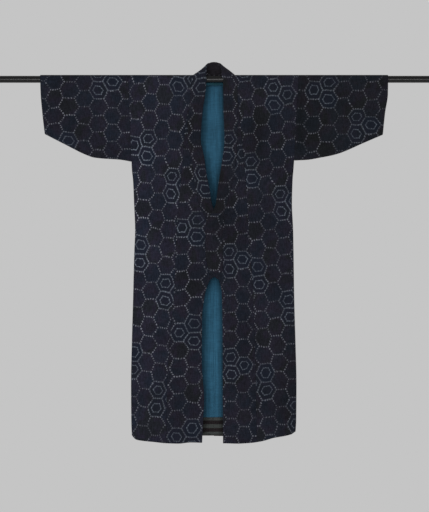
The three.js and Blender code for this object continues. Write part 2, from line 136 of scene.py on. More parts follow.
# Largest folds, as the solids have them: a ridge stands out, a trough goes in
FOLD_COLUMNS = "x_top x_low z_top z_low width depth"
FRONT_FOLDS = table(
    FOLD_COLUMNS,
    (300, 296, -10, -290, 9, -2.4),
    (-294, -289, -60, -290, 10, -1.6),
    (166, 150, -90, -390, 15, -2.4),
    (-205, -232, -260, -1260, 34, 3.2),
    (-150, -166, -300, -1200, 22, -2.2),
    (205, 214, -300, -1050, 32, 2.8),
    (236, 246, -900, -1330, 26, -3.4),
    (70, 84, -620, -1330, 24, 2.2),
    (-430, -440, -60, -262, 30, 1.8),
    (452, 436, -40, -262, 26, 2.0),
)
BACK_FOLDS = table(
    FOLD_COLUMNS,
    (128, 142, -150, -1330, 36, 3.4),
    (-120, -150, -210, -1330, 34, 3.0),
    (-205, -214, -420, -1100, 26, -2.4),
    (212, 220, -350, -1200, 28, -2.2),
    (420, 430, -60, -262, 30, 1.8),
    (-446, -430, -50, -262, 28, 1.8),
)
# Smaller creases, which only the looks have: soft lines from one place to another
CREASE_COLUMNS = "x_from z_from x_to z_to width depth"
FRONT_CREASES = table(
    CREASE_COLUMNS,
    (-280, -288, -214, -430, 11, -1.3),
    (-268, -262, -168, -352, 13, 1.0),
    (272, -282, 222, -402, 10, -1.4),
    (262, -250, 176, -330, 12, 0.9),
    (-246, -40, -188, -236, 12, -0.8),
    (-128, -30, -112, -214, 9, 0.7),
    (118, -24, 128, -168, 8, -0.8),
    (232, -44, 208, -262, 12, 0.8),
    (-262, -612, -140, -622, 5, -0.6),
    (152, -634, 262, -628, 5, -0.6),
    (-256, -742, -236, -1010, 12, -1.0),
    (-196, -900, -182, -1230, 10, 0.9),
    (-118, -780, -126, -1180, 12, -0.9),
    (-80, -860, -88, -1240, 9, 0.7),
    (176, -700, 190, -1120, 12, -1.0),
    (112, -830, 110, -1236, 10, -0.8),
    (262, -520, 256, -800, 10, -0.9),
    (-322, -40, -340, -262, 12, -0.9),
    (-380, -52, -392, -266, 14, 0.9),
    (-486, -40, -506, -236, 12, -0.9),
    (-548, -60, -552, -200, 10, 0.7),
    (332, -30, 346, -268, 13, 0.9),
    (386, -90, 380, -262, 10, -0.8),
    (500, -34, 512, -226, 13, -0.9),
    (556, -70, 552, -196, 9, 0.7),
    (-312, -232, -400, -262, 9, -0.7),
    (306, -226, 372, -258, 9, -0.7),
)
BACK_CREASES = table(
    CREASE_COLUMNS,
    (-280, -290, -206, -440, 11, -1.2),
    (274, -284, 208, -420, 11, -1.3),
    (-60, -60, -150, -262, 14, 0.9),
    (64, -56, 158, -246, 14, 0.9),
    (-22, -90, -34, -520, 10, -0.8),
    (30, -120, 26, -610, 11, -0.9),
    (-262, -628, -30, -634, 5, -0.6),
    (26, -640, 258, -622, 5, -0.6),
    (-66, -560, -78, -1210, 14, -1.1),
    (70, -700, 64, -1222, 15, 1.0),
    (-246, -760, -250, -1190, 12, 0.9),
    (240, -820, 252, -1200, 12, -1.0),
    (-178, -820, -172, -1224, 11, -0.9),
    (176, -660, 186, -980, 11, 0.8),
    (-336, -40, -352, -262, 12, 0.9),
    (-500, -60, -512, -220, 13, -0.9),
    (346, -48, 352, -262, 13, -0.9),
    (506, -40, 520, -214, 12, 0.8),
)
# Outlines of the two sides: distances out from the middle by height, or, for the hems and the
# sleeves' lower edges, heights by the distance out or the share of the sleeve's width
BODY_SIDE = table(
    "z left right",
    (-270, 285, 277),
    (-312, 283, 274),
    (-350, 279, 271),
    (-430, 275.5, 269),
    (-520, 272, 273),
    (-600, 275, 274.5),
    (-760, 279, 277),
    (-900, 283, 281),
    (-1050, 286, 284.5),
    (-1180, 285, 283.5),
    (-1260, 281, 279),
)
FRONT_HEM = table(
    "out left right",
    (-40, -1252, -1254),
    (35, -1252, -1254),
    (80, -1251, -1255),
    (122, -1255, -1253),
    (165, -1254, -1247),
    (205, -1250, -1236),
    (246, -1246, -1229),
    (268, -1242, -1223),
    (285, -1226, -1208),
)
BACK_HEM = table(
    "out left right",
    (0, -1229, -1230),
    (60, -1229, -1231),
    (160, -1229, -1228),
    (268, -1230, -1222),
    (285, -1222, -1212),
)
SLEEVE_BOTTOM = table(
    "along left right",
    (0, -284, -280),
    (0.14, -277, -278),
    (0.3, -274, -270),
    (0.43, -270, -262),
    (0.52, -261, -254),
    (0.77, -224, -221),
    (1, -189, -191),
)
CUFF = table(
    "z left right",
    (15, 599, 600),
    (-50, 597, 599),
    (-120, 591, 589),
    (-190, 583, 582),
)
COLLAR_SEAM = table(
    "z left right",
    (0, 77, 80),
    (-90, 84, 81),
    (-147, 91, 82),
    (-209, 90, 81),
    (-268, 79, 77),
    (-330, 69, 68),
    (-385, 62, 56),
    (-430, 52, 44),
    (-455, 41, 37),
    (-485, 27, 31),
    (-540, 23, 30),
    (-600, 23, 30),
    (-662, 27, 31),
)
FREE_EDGE = table(
    "z left right",
    (0, 25, 31),
    (-60, 31, 32),
    (-110, 39, 33),
    (-209, 45, 36),
    (-268, 34, 30),
    (-330, 25, 20),
    (-385, 14, 12),
    (-430, 7, 6),
    (-455, -3, -4),
    (-485, -23, -24),
    (-540, -27, -29),
    (-600, -27, -29),
    (-640, -22, -22),
    (-662, -9, -10),
    (-692, 14, 17),
    (-740, 31, 27),
    (-830, 41, 29),
    (-970, 42, 30),
    (-1105, 34, 30),
    (-1180, 38, 31),
    (-1260, 43, 31),
)
OVERLAP_SEAM = table(
    "z left right",
    (-80, 86, 85),
    (-95, 88, 86),
    (-147, 97, 90),
    (-261, 106, 102),
    (-385, 117, 112),
    (-510, 129, 119),
    (-662, 134, 130),
    (-740, 137, 135),
    (-870, 149, 140),
    (-1050, 161, 144),
    (-1260, 165, 148),
)
# The collar round the neck: its seam by angle over the rod and distance out, and its free edge
COLLAR_NECK = table(
    "angle seam edge_out edge_y edge_z arch_left arch_right",
    (22.5, 76, 27, -18, 11, 1, 1),
    (45, 74.5, 26.5, -14.5, 22.5, 1.5, 2),
    (67.5, 73, 26.5, -8.5, 32, 2, 3),
    (90, 72, 26.5, -1, 40, 1.5, 4),
    (112.5, 70, 26, 5.5, 46.5, 1.5, 4),
    (135, 66, 25.5, 11.5, 51.5, 1.5, 3.5),
    (NECK_CUT, 58, 22.5, 16.5, 56, 1.5, 3),
    (NECK_CUT, 38, 15.5, 20.5, 58.5, 1.5, 2),
    (NECK_CUT, 19, 8, 23, 60.5, 1, 1),
    (NECK_CUT, 0, 0, 24, 60.5, 0.5, 0.5),
)
NECK_CORNER = 7 # rows of that table up to the corner of the neckline

# Where the hexagons lie on each panel, read off the photo: the middle of one hexagon, then the
# step to the next column and the next row, each as millimetres across and down. "cell" is that
# hexagon's column and row in the repeat.
PATTERN_PLACE = {
    "body_left": dict(x=-226.4, z=-202.6, across=(45.6, 4.2), down=(-4.1, 61.4), cell=(0, 0)),
    "body_right": dict(x=126.4, z=-281.8, across=(46.9, -4.6), down=(4.3, 60.8), cell=(0, 0)),
    "overlap_panel_left": dict(x=-56.8, z=-482.7, across=(51, -0.4), down=(-1.6, 59.9), cell=(0, 0)),
    "overlap_panel_right": dict(x=53.1, z=-593.5, across=(46.1, -1.9), down=(0.45, 60.6), cell=(2, 2)),
    "sleeve_left": dict(x=-397.7, z=19.2, across=(50.2, 0.4), down=(-0.5, 58), cell=(2, 2)),
    "sleeve_right": dict(x=396.4, z=-8.6, across=(50.2, 0.2), down=(-2.0, 59.8), cell=(0, 0)),
}
# On the collar: height of one doubled hexagon, how far it lies from the seam, and the next row's step
COLLAR_PATTERN = {
    "left": dict(z=-321, out=37, step=59),
    "right": dict(z=-205, out=36, step=61),
}
COLLAR_COLUMN = 50 # step from one column of hexagons to the next
COLLAR_PIECED = -470 # below this the right side of the collar is another length of cloth
COLLAR_PIECED_ROWS = 3 # by which the pattern is shifted there

# The dye differs from panel to panel, and the cloth is lighter or darker in places, some of that
# painted shade. The fourth number is how clear the pattern is.
PANEL_TINTS = {
    "body_left": (1.05, 1.05, 1.05, 0.52),
    "body_right": (0.99, 0.98, 0.95, 0.46),
    "sleeve_left": (0.9, 0.9, 0.87, 0.48),
    "sleeve_right": (0.75, 0.76, 0.66, 0.37),
    "overlap_panel_left": (0.94, 0.92, 0.9, 0.5),
    "overlap_panel_right": (0.91, 0.89, 0.86, 0.45),
    "collar": (0.97, 0.94, 0.88, 0.42),
    "back_lining_left": (1, 1, 1, 1),
    "back_lining_right": (1, 1, 1, 1),
    "hem_facing_left": (1, 1, 1, 1),
    "hem_facing_right": (1, 1, 1, 1),
}
# Inside the back, painted shade along the fronts' free edges: the dark margin begins so far in from
# each free edge and is so wide. Its tone is "dark" at the edge, and that of the rest goes from
# "upper" to "lower" below "top".
LINING_PAINTED_SHADE_AND_TONE = SimpleNamespace(
    left=4, right=0, over=20, dark=0.5, top=-300, tall=400, upper=1.02, lower=0.93
)
# Where the cloth is lighter or, below zero, darker, some of it painted shade, and where the
# pattern is clearer
PAINTED_SHADE_AND_TONE = table(
    "x z wide tall strength clearer",
    (-245, -420, 55, 280, 0.16, 0.5),
    (-150, -520, 70, 220, 0.05, 0.3),
    (-250, -900, 60, 300, 0.06, 0.1),
    # Painted shade in the trough along the right armhole seam
    (300, -130, 14, 130, -0.25, -0.3),
    (345, -150, 45, 110, -0.12, 0),
    # Painted shade in the trough at about 150 mm right, with the cloth's own darker, browner patches
    # there
    (150, -200, 30, 170, -0.3, -0.25),
    (-58, -500, 40, 60, 0, -0.35),
    (20, -480, 32, 110, -0.2, -0.1),
    (-70, -1060, 45, 110, 0, -0.22),
    (-150, -150, 40, 90, 0, -0.15),
    (-340, -200, 60, 60, 0.1, 0.1),
    (262, -1050, 55, 230, -0.25, -0.2),
    # Painted shadow of the rod on the cloth just below it
    (0, -16, 30, 9, -0.45, 0),
    # Painted shade over the upper middle, darkest at the top of the lining under the rod and the
    # collar; it darkens the collar there too
    (0, -110, 75, 330, -0.2, 0),
    (-20, -1000, 60, 220, 0.06, 0),
)
PAINTED_SHADE_AND_TONE_SHARES = (1, 1, 1.25) # of the strength in red, green and blue, as dark places are browner


def clamp(value, low=0.0, high=1.0):
    """The value, held between low and high."""
    return np.minimum(np.maximum(value, low), high)


def mix(start, end, share):
    """The start plus the share of the way to the end."""
    return start + (end - start) * share


def between(count):
    """Even shares from 0 to 1, without the two ends."""
    return np.linspace(0, 1, count)[1:-1]


def smooth(value):
    """Rises from 0 to 1 with level ends: 3 t squared less 2 t cubed."""
    t = clamp(value)
    return t * t * (3 - 2 * t)


def smooth_through(at, value, x):
    """A cubic through the values at places "at", along the first axis. Its slope at each place is the
    harmonic mean of the slopes on both sides, or level where they differ in sign, so that it never
    overshoots."""
    shape = (-1,) + (1,) * (value.ndim - 1)
    rise = np.diff(value, axis=0) / np.diff(at).reshape(shape)
    before = np.concatenate([rise[:1], rise])
    after = np.concatenate([rise, rise[-1:]])
    same = before * after > 0
    slope = np.where(same, 2 * before * after / np.where(same, before + after, 1), 0)
    inside = clamp(x, at[0], at[-1])
    k = np.clip(np.searchsorted(at, inside, side="right") - 1, 0, len(at) - 2)
    span = at[k + 1] - at[k]
    t = (inside - at[k]) / span
    shape = np.shape(t) + (1,) * (value.ndim - 1)
    t, span = t.reshape(shape), span.reshape(shape)
    bend = t * (1 - t) * span * ((1 - t) * slope[k] - t * slope[k + 1])
    return mix(value[k], value[k + 1], smooth(t)) + bend


def curve(rows, along, column):
    """A smooth curve through one column of a table."""
    order = np.argsort(rows[along], kind="stable")
    at, value = rows[along][order], rows[column][order]
    return lambda x: smooth_through(at, value, np.asarray(x, float))


def make_half(name, sign, shoulder, underarm_out, underarm, tip, lift):
    """All that differs between the left and the right half: the armhole's distance out at the
    shoulder and at the underarm, the heights of the underarm and of the overlap panel's tip, and how
    far the front is lifted where it crosses the other."""
    return SimpleNamespace(
        name=name,
        sign=sign,
        underarm=underarm,
        tip=tip,
        lift=lift,
        armhole=lambda z: mix(shoulder, underarm_out, (RIDE - z) / (RIDE - underarm)),
        body_side=curve(BODY_SIDE, "z", name),
        front_hem=curve(FRONT_HEM, "out", name),
        back_hem=curve(BACK_HEM, "out", name),
        sleeve_bottom=curve(SLEEVE_BOTTOM, "along", name),
        cuff=curve(CUFF, "z", name),
        collar_seam=curve(COLLAR_SEAM, "z", name),
        free_edge=curve(FREE_EDGE, "z", name),
        overlap_seam=curve(OVERLAP_SEAM, "z", name),
    )


LEFT = make_half("left", -1, shoulder=296, underarm_out=284, underarm=-284, tip=-95, lift=-1.0)
RIGHT = make_half("right", 1, shoulder=292, underarm_out=276, underarm=-279, tip=-80, lift=3.2)
HALVES = (LEFT, RIGHT)


# Depth of the cloth

def fold_depth(folds, x, z):
    """Sum over the folds of depth x exp(-(off / width) squared), faded at both ends of its height."""
    x, z = np.asarray(x)[..., None], np.asarray(z)[..., None]
    t = (folds["z_top"] - z) / (folds["z_top"] - folds["z_low"])
    off = (x - mix(folds["x_top"], folds["x_low"], t)) / folds["width"]
    ends = smooth(t * 4) * smooth((1 - t) * 4)
    return (folds["depth"] * np.exp(-off * off) * ends).sum(-1)


def crease_depth(creases, x, z):
    """The same round a line in any direction: off is the distance from the line and t the share along
    it. The line itself wanders a little."""
    x, z = np.asarray(x)[..., None], np.asarray(z)[..., None]
    run_x = creases["x_to"] - creases["x_from"]
    run_z = creases["z_to"] - creases["z_from"]
    length = np.hypot(run_x, run_z)
    t = ((x - creases["x_from"]) * run_x + (z - creases["z_from"]) * run_z) / length**2
    off = ((x - creases["x_from"]) * run_z - (z - creases["z_from"]) * run_x) / length
    wander = 0.35 * creases["width"] * np.sin(t * 7 + creases["x_from"])
    across = (off + wander) / creases["width"]
    return (creases["depth"] * np.exp(-across * across) * smooth(t * 3) * smooth((1 - t) * 3)).sum(-1)


def slack(face, x, z):
    """Broad, shallow unevenness of hanging cloth: a sum of three sines of unlike lengths, each of
    the width and the height together."""
    turn = 1.7 * face.side
    waves = (
        np.sin(x / 37 + z / 190 + turn)
        + 0.8 * np.sin(x / 21 - z / 83 + 2.1 * turn)
        + 0.6 * np.sin(x / 61 + z / 47 + 0.4 * turn)
    )
    return 0.28 * waves


def pucker(distance, along, amount=0.42):
    """Small gathers beside a seam: a sum of three sines of the run along it, times the amount and
    exp(-(distance / 9 mm) squared)."""
    waves = np.sin(along / 6.1) + 0.7 * np.sin(along / 9.7 + 1.2) + 0.5 * np.sin(along / 23 + 0.5)
    return amount * waves * np.exp(-((distance / 9) ** 2))


def seam_puckers(face, half, x, z):
    """Puckers beside the seams of a face, each with waves of its own: the side seam or armhole, and
    the middle seam or those of the overlap panel and the collar."""
    out = np.abs(x)
    side = np.where(z > half.underarm, half.armhole(z), half.body_side(z))
    total = pucker(out - side, z + 40 * half.sign)
    if face is BACK:
        return total + pucker(out, z + 11)
    below_tip = smooth((half.tip - z) / 20)
    total += pucker(out - half.overlap_seam(z), z * 1.1 + 90 * half.sign) * below_tip
    above_end = smooth((z - COLLAR_END) / 20)
    return total + pucker(out - half.collar_seam(z), z * 0.9 - 30 * half.sign) * above_end


def crossing(x, z):
    """How fully a place lies where the fronts cross at the waist: a smooth rise below the top, times
    one above the bottom, times a smooth fall with the distance from the middle."""
    down = smooth((CROSSING.top - z) / (CROSSING.top - CROSSING.full))
    up = smooth((z - CROSSING.bottom) / (CROSSING.full_to - CROSSING.bottom))
    return down * up * (1 - smooth((np.abs(x) - CROSSING.wide) / CROSSING.fade))


def half_depth(face, half, x, z):
    """Distance from the middle plane to the outer face. It goes smoothly from the rod's level to the
    depth of a lens, which is the edge's depth plus a smooth rise inwards to the middle's, and the
    folds, creases, slack and puckers are added."""
    inward = smooth((LENS_FROM - np.abs(x)) / LENS_OVER)
    low = face.edge + (face.middle - face.edge + face.flare * -z / LENGTH) * inward
    plain = mix(RIDE, low, smooth(-z / FALL))
    folds, creases = (BACK_FOLDS, BACK_CREASES) if face is BACK else (FRONT_FOLDS, FRONT_CREASES)
    fine = crease_depth(creases, x, z) + slack(face, x, z) + seam_puckers(face, half, x, z)
    depth = plain + fold_depth(folds, x, z) + fine * smooth(-z / FINE_FALL)
    return depth if face is BACK else depth + half.lift * crossing(x, z)


def curl(near, around):
    """The round fold at a closed edge: the root of 1 less (1 - t) squared."""
    t = clamp(near / around)
    return np.sqrt(1 - (1 - t) ** 2)


def lip(distance, depth=LIP):
    """How far each face of a wall turns in at an edge: a share of the depth x (1 - curl)."""
    return LIP_SHARE * depth * (1 - curl(distance, LIP))


def face_points(face, half, out, z, near, inset):
    """Points of a hanging face: y is the depth there, less the inset under the outer face, times the
    round fold's curve at the distance "near" from the closed edge."""
    x = half.sign * out
    depth = (half_depth(face, half, x, z) - inset) * curl(near - inset, EDGE_ROUND - inset)
    y = face.side * np.maximum(depth, SEWN / 2)
    return np.stack(np.broadcast_arrays(x, y, z), -1)


def arc_points(half, out, angle, inset):
    """Points of the cloth over the rod: y = -r cos and z = r sin of the angle, with r the radius of
    the outer face less the inset."""
    turn = np.radians(angle)
    radius = RIDE - inset
    return np.stack(
        np.broadcast_arrays(half.sign * out, -radius * np.cos(turn), radius * np.sin(turn)), -1
    )


def layer_inset(layer, thin, wall=WALL, proud=0.0):
    """The inset of a wall's outer face, thin less proud, or of its inner one, the wall less proud
    less thin. "thin" is how far both turn in at an edge, and "proud" how far the wall stands out."""
    return thin - proud if layer == "outer" else wall - proud - thin


# Walls and meshes

def wall(outer, inner, kept=None, looped=False):
    """A closed wall from an outer and an inner grid of points, (rows, columns, 3). Squares join
    neighbouring grid points on both faces, and strips close the wall along every border of the kept
    squares. Returns the points, the squares, each corner's place in the chart, which has one row more
    than a looped grid, each square's row, and which face it is on: 0 outer, 1 inner, 2 a border."""
    rows, columns = outer.shape[:2]
    count = rows * columns
    square_rows = rows if looped else rows - 1
    if kept is None:
        kept = np.ones((square_rows, columns - 1), bool)
    index = np.arange(count).reshape(rows, columns)
    following = np.roll(index, -1, 0)
    a, b = index[:square_rows, :-1], following[:square_rows, :-1]
    c, d = following[:square_rows, 1:], index[:square_rows, 1:]
    chart = np.arange((square_rows + 1) * columns).reshape(square_rows + 1, columns)
    chart = [chart[:-1, :-1], chart[1:, :-1], chart[1:, 1:], chart[:-1, 1:]]
    corners = [a, b, c, d]
    row_of = np.broadcast_to(np.arange(square_rows)[:, None], kept.shape)
    edge_rows = kept[[-1]], kept[[0]]
    if not looped:
        edge_rows = np.zeros_like(kept[:1]), np.zeros_like(kept[:1])
    above = np.vstack([edge_rows[0], kept[:-1]])
    below = np.vstack([kept[1:], edge_rows[1]])
    none = np.zeros_like(kept[:, :1])
    before = np.hstack([none, kept[:, :-1]])
    after = np.hstack([kept[:, 1:], none])
    squares, charts, square_row, side = [], [], [], []

    def put(where, order, layers, kind):
        picked = [corners[k][where] + layer * count for k, layer in zip(order, layers)]
        squares.append(np.stack(picked, -1))
        charts.append(np.stack([chart[k][where] for k in order], -1))
        square_row.append(row_of[where])
        side.append(np.full(where.sum(), kind))

    put(kept, (0, 1, 2, 3), (0, 0, 0, 0), 0)
    put(kept, (0, 3, 2, 1), (1, 1, 1, 1), 1)
    for neighbour, first, second in ((before, 1, 0), (below, 2, 1), (after, 3, 2), (above, 0, 3)):
        put(kept & ~neighbour, (first, second, second, first), (0, 0, 1, 1), 2)
    points = np.concatenate([outer.reshape(-1, 3), inner.reshape(-1, 3)])
    squares, charts = np.concatenate(squares), np.concatenate(charts)
    p = points[squares]
    volume = np.einsum("ij,ij->i", p[:, 0], np.cross(p[:, 1], p[:, 2])).sum()
    volume += np.einsum("ij,ij->i", p[:, 0], np.cross(p[:, 2], p[:, 3])).sum()
    if volume < 0:
        squares, charts = squares[:, ::-1], charts[:, ::-1]
    used, squares = np.unique(squares, return_inverse=True)
    return SimpleNamespace(
        points=points[used],
        squares=squares.reshape(-1, 4),
        charts=charts,
        row=np.concatenate(square_row),
        side=np.concatenate(side),
    )


def make_piece(name, shell, maps, materials, material_of):
    """Makes the mesh object. "maps" gives for each UV map its values by square corner."""
    mesh = bpy.data.meshes.new(name)
    mesh.from_pydata((shell.points * MM).tolist(), [], shell.squares.tolist())
    for map_name, values in maps.items():
        layer = mesh.uv_layers.new(name=map_name)
        layer.uv.foreach_set("vector", np.ascontiguousarray(values, np.float32).ravel())
    for material in materials:
        mesh.materials.append(material)
    mesh.polygons.foreach_set("material_index", np.asarray(material_of, np.int32))
    mesh.polygons.foreach_set("use_smooth", np.ones(len(shell.squares), bool))
    mesh.validate()
    mesh.update()
    piece = bpy.data.objects.new(name, mesh)
    bpy.context.scene.collection.objects.link(piece)
    return piece


def lining_painted_shade_and_tone(x, z):
    """Painted shade on the inside of the back: darker along the fronts' free edges, which shade it,
    with a smooth rise in from each free edge. The lower part is darker."""
    from_left = smooth((x + LEFT.free_edge(z) - LINING_PAINTED_SHADE_AND_TONE.left) / LINING_PAINTED_SHADE_AND_TONE.over)
    from_right = smooth((RIGHT.free_edge(z) - x - LINING_PAINTED_SHADE_AND_TONE.right) / LINING_PAINTED_SHADE_AND_TONE.over)
    lower = smooth((LINING_PAINTED_SHADE_AND_TONE.top - z) / LINING_PAINTED_SHADE_AND_TONE.tall)
    return mix(LINING_PAINTED_SHADE_AND_TONE.dark, 1, from_left * from_right) * mix(LINING_PAINTED_SHADE_AND_TONE.upper, LINING_PAINTED_SHADE_AND_TONE.lower, lower)


def paint_tone_and_shade(piece, name):
    """Gives each point its tone: the panel's own tint, times 1 + strength x exp(-(distance / size)
    squared) for each place where the cloth is lighter or darker, some of them painted shade. On the
    lining and the facing it adds painted shade along the fronts' edges. The alpha is the pattern's."""
    count = len(piece.data.vertices)
    points = np.empty(count * 3, np.float32)
    piece.data.vertices.foreach_get("co", points)
    places = points.reshape(-1, 3) / MM
    x, z = places[:, :1], places[:, 2:]
    near = np.exp(-(((x - PAINTED_SHADE_AND_TONE["x"]) / PAINTED_SHADE_AND_TONE["wide"]) ** 2) - ((z - PAINTED_SHADE_AND_TONE["z"]) / PAINTED_SHADE_AND_TONE["tall"]) ** 2)
    tone = np.tile(np.array(PANEL_TINTS[name], np.float32), (count, 1))
    inside = name.startswith(("back_lining", "hem_facing"))
    for channel, share in enumerate((1, 1, 1) if inside else PAINTED_SHADE_AND_TONE_SHARES):
        tone[:, channel] *= (1 + share * PAINTED_SHADE_AND_TONE["strength"] * near).prod(1)
    tone[:, 3] *= (1 + PAINTED_SHADE_AND_TONE["clearer"] * near).prod(1)
    if inside:
        # Painted shade along the fronts' free edges, and darker towards the bottom
        tone[:, :3] *= lining_painted_shade_and_tone(x[:, 0], z[:, 0])[:, None]
    layer = piece.data.color_attributes.new("Tone", "FLOAT_COLOR", "POINT")
    layer.data.foreach_set("color", tone.ravel())


def settle(piece, node):
    """The piece stands for its solid and is carried by the one body."""
    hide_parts(node)
    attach(piece, "root")


def make_cloth(name, shell, maps, materials, material_of):
    """A cloth piece with its tones, in the place of its solid."""
    piece = make_piece(name, shell, maps, materials, material_of)
    paint_tone_and_shade(piece, name)
    settle(piece, name)
    return piece


def cells(place, x, h):
    """Cell numbers at a place on the unrolled panel, as regular hexagons one high: the column and row
    for which column x across + row x down is the way there. h is the height on the front and runs on
    over the shoulder and down the back, where the rows no longer lean."""
    (across_x, across_down), (down_x, down_down) = place["across"], place["down"]
    x = x - np.maximum(h, 0) * down_x / -down_down
    right, below = x - place["x"], place["z"] - h
    determinant = across_x * down_down - across_down * down_x
    column = (right * down_down - below * down_x) / determinant + place["cell"][0]
    row = (below * across_x - right * across_down) / determinant + place["cell"][1]
    return np.stack([column * math.sqrt(3) / 2, row], -1)


def panel_maps(shell, name, x, h):
    """The two UV maps of a panel of patterned cloth: places on the cloth in metres, and cells."""
    x, h = np.broadcast_arrays(x, h)
    return {
        "Cloth": np.stack([x, h], -1).reshape(-1, 2)[shell.charts] * MM,
        "Hexagons": cells(PATTERN_PLACE[name], x, h).reshape(-1, 2)[shell.charts],
    }


def lined(shell):
    """Material numbers of a lined panel: 0 cloth, 1 lining, 2 the facing inside the hem."""
    heights = shell.points[shell.squares, 2].mean(1)
    return np.where(shell.side == 1, np.where(heights < FACING_TOP, 2, 1), 0)


def flat_area(width, length):
    """Square metres under a width that changes along a length, both in millimetres."""
    middle = (width[1:] + width[:-1]) / 2
    return float((middle * np.abs(np.diff(length))).sum()) * MM * MM


# Grids that the panels share

def steps(start, end, step, special=()):
    """Even steps from start to end, with the special places between them added."""
    count = max(int(round(abs(end - start) / step)), 1)
    places = np.concatenate([np.linspace(start, end, count + 1), np.array(special, float)])
    places = np.unique(places)
    return places if end > start else places[::-1]


HEM_SHARES = np.concatenate([np.linspace(0, 0.9, 9)[1:], [0.945, 0.984, 0.995, 1]])


def hanging_rows(top, special=()):
    """Levels from the top down to the hem facing, then by shares on to the hem."""
    levels = steps(top, FACING_TOP, ROW_STEP, special)
    level = np.concatenate([levels, mix(FACING_TOP, -LENGTH, HEM_SHARES)])
    share = np.concatenate([np.zeros(len(levels)), HEM_SHARES])
    return level[:, None], share[:, None]


def hang_height(level, share, hem):
    """The height of a row that ends on the hem's own curve."""
    return np.where(share > 0, mix(FACING_TOP, hem, share), level)


def body_columns(edge, inner):
    """Distances out from the closed or armhole edge to the inner seam, and each one's distance from
    the two edges."""
    share = between(EVEN.body)
    plain = mix(edge - LINING_INSET, inner + LIP_STEPS[0], share)
    out = np.concatenate([edge - SIDE_STEPS, plain, inner + LIP_STEPS], axis=-1)
    near_edge = np.concatenate([SIDE_STEPS, np.full(len(share) + len(LIP_STEPS), LINING_INSET)])
    return out, near_edge, out - inner


def middle_columns(inner):
    """The back's further columns, from there to the middle seam."""
    last = SEWN / 2 + LIP_STEPS
    return np.concatenate([mix(inner, last[0], between(EVEN.middle)), last])


def neck_out(half, angle):
    """Where the body's cloth ends at the neck, over the rod: a smooth curve through the neck's seam
    by angle."""
    at = np.concatenate([[0], COLLAR_NECK["angle"][:NECK_CORNER]])
    seam = np.concatenate([[half.collar_seam(0)], COLLAR_NECK["seam"][:NECK_CORNER]])
    return smooth_through(at, seam, np.asarray(angle, float))


# Body: one length of cloth from the front hem over the shoulder to the back hem

def body_block(face, half, layer):
    """The hanging rows of one face, from the top down to the hem's curve. Each row's points lie by
    even shares between the armhole or side seam and the front's seam, then on to the middle."""
    special = [half.tip, half.tip + 1, half.underarm]
    special += [half.underarm + step for step in UNDERARM_STEPS]
    level, share = hanging_rows(HANG_TOP, special)
    above = level > half.underarm
    edge = np.where(above, half.armhole(level) - SEWN / 2, half.body_side(level))
    seam = np.where(level > half.tip, half.collar_seam(level), half.overlap_seam(level))
    corner = neck_out(half, NECK_CUT)
    inner = seam + SEWN / 2 if face is FRONT else np.full_like(level, corner)
    out, near, from_seam = body_columns(edge, inner)
    middle = np.broadcast_to(middle_columns(corner), (len(level), len(middle_columns(corner))))
    out = np.concatenate([out, middle], 1)
    near = np.concatenate([near, np.full(middle.shape[1], LINING_INSET)])
    hem = (half.front_hem if face is FRONT else half.back_hem)(out)
    z = hang_height(level, share, hem)
    reach = np.where(above, np.hypot(near, z - half.underarm), near)
    border = np.minimum(np.where(above, near, FAR), z - hem)
    if face is FRONT:
        border = np.minimum(border, np.concatenate([from_seam, np.full_like(middle, FAR)], 1))
    else:
        border = np.minimum(border, out - SEWN / 2)
    inset = layer_inset(layer, lip(border))
    step = np.where(above, 0, inset * np.maximum(1 - near / EDGE_ROUND, 0))
    return face_points(face, half, out - step, z, reach + step, inset)


def body_arc(half, layer):
    """The rows over the rod, one for each step of the angle from front to back, with the same
    columns as the hanging rows."""
    angle = np.linspace(0, 180, ARC_ROWS)[:, None]
    height = RIDE * np.sin(np.radians(angle))
    inner = neck_out(half, angle) + np.where(angle < NECK_CUT, SEWN / 2, 0)
    out, near, from_seam = body_columns(half.armhole(height) - SEWN / 2, inner)
    corner = neck_out(half, NECK_CUT)
    middle = np.broadcast_to(middle_columns(corner), (len(angle), len(middle_columns(corner))))
    cut = np.where(angle < NECK_CUT, from_seam, FAR)
    past_cut = (angle - NECK_CUT) * ARC_PER_DEGREE
    border = np.concatenate([np.minimum(near, cut), np.minimum(middle - SEWN / 2, past_cut)], 1)
    inset = layer_inset(layer, lip(border))
    return arc_points(half, np.concatenate([out, middle], 1), angle, inset)


def body_grid(half, layer):
    """Rows run from the front hem up, over the rod and down to the back hem."""
    front, back = (body_block(face, half, layer) for face in (FRONT, BACK))
    return np.concatenate([front[::-1], body_arc(half, layer), back])


def unrolled(points, rows_front):
    """The height along the cloth: z on the front, the arc over the rod, then on down the back."""
    back = rows_front + ARC_ROWS
    h = points[..., 2].copy()
    h[rows_front:back] = np.linspace(0, np.pi, ARC_ROWS)[:, None] * RIDE
    h[back:] = np.pi * RIDE - points[back:, :, 2]
    return h


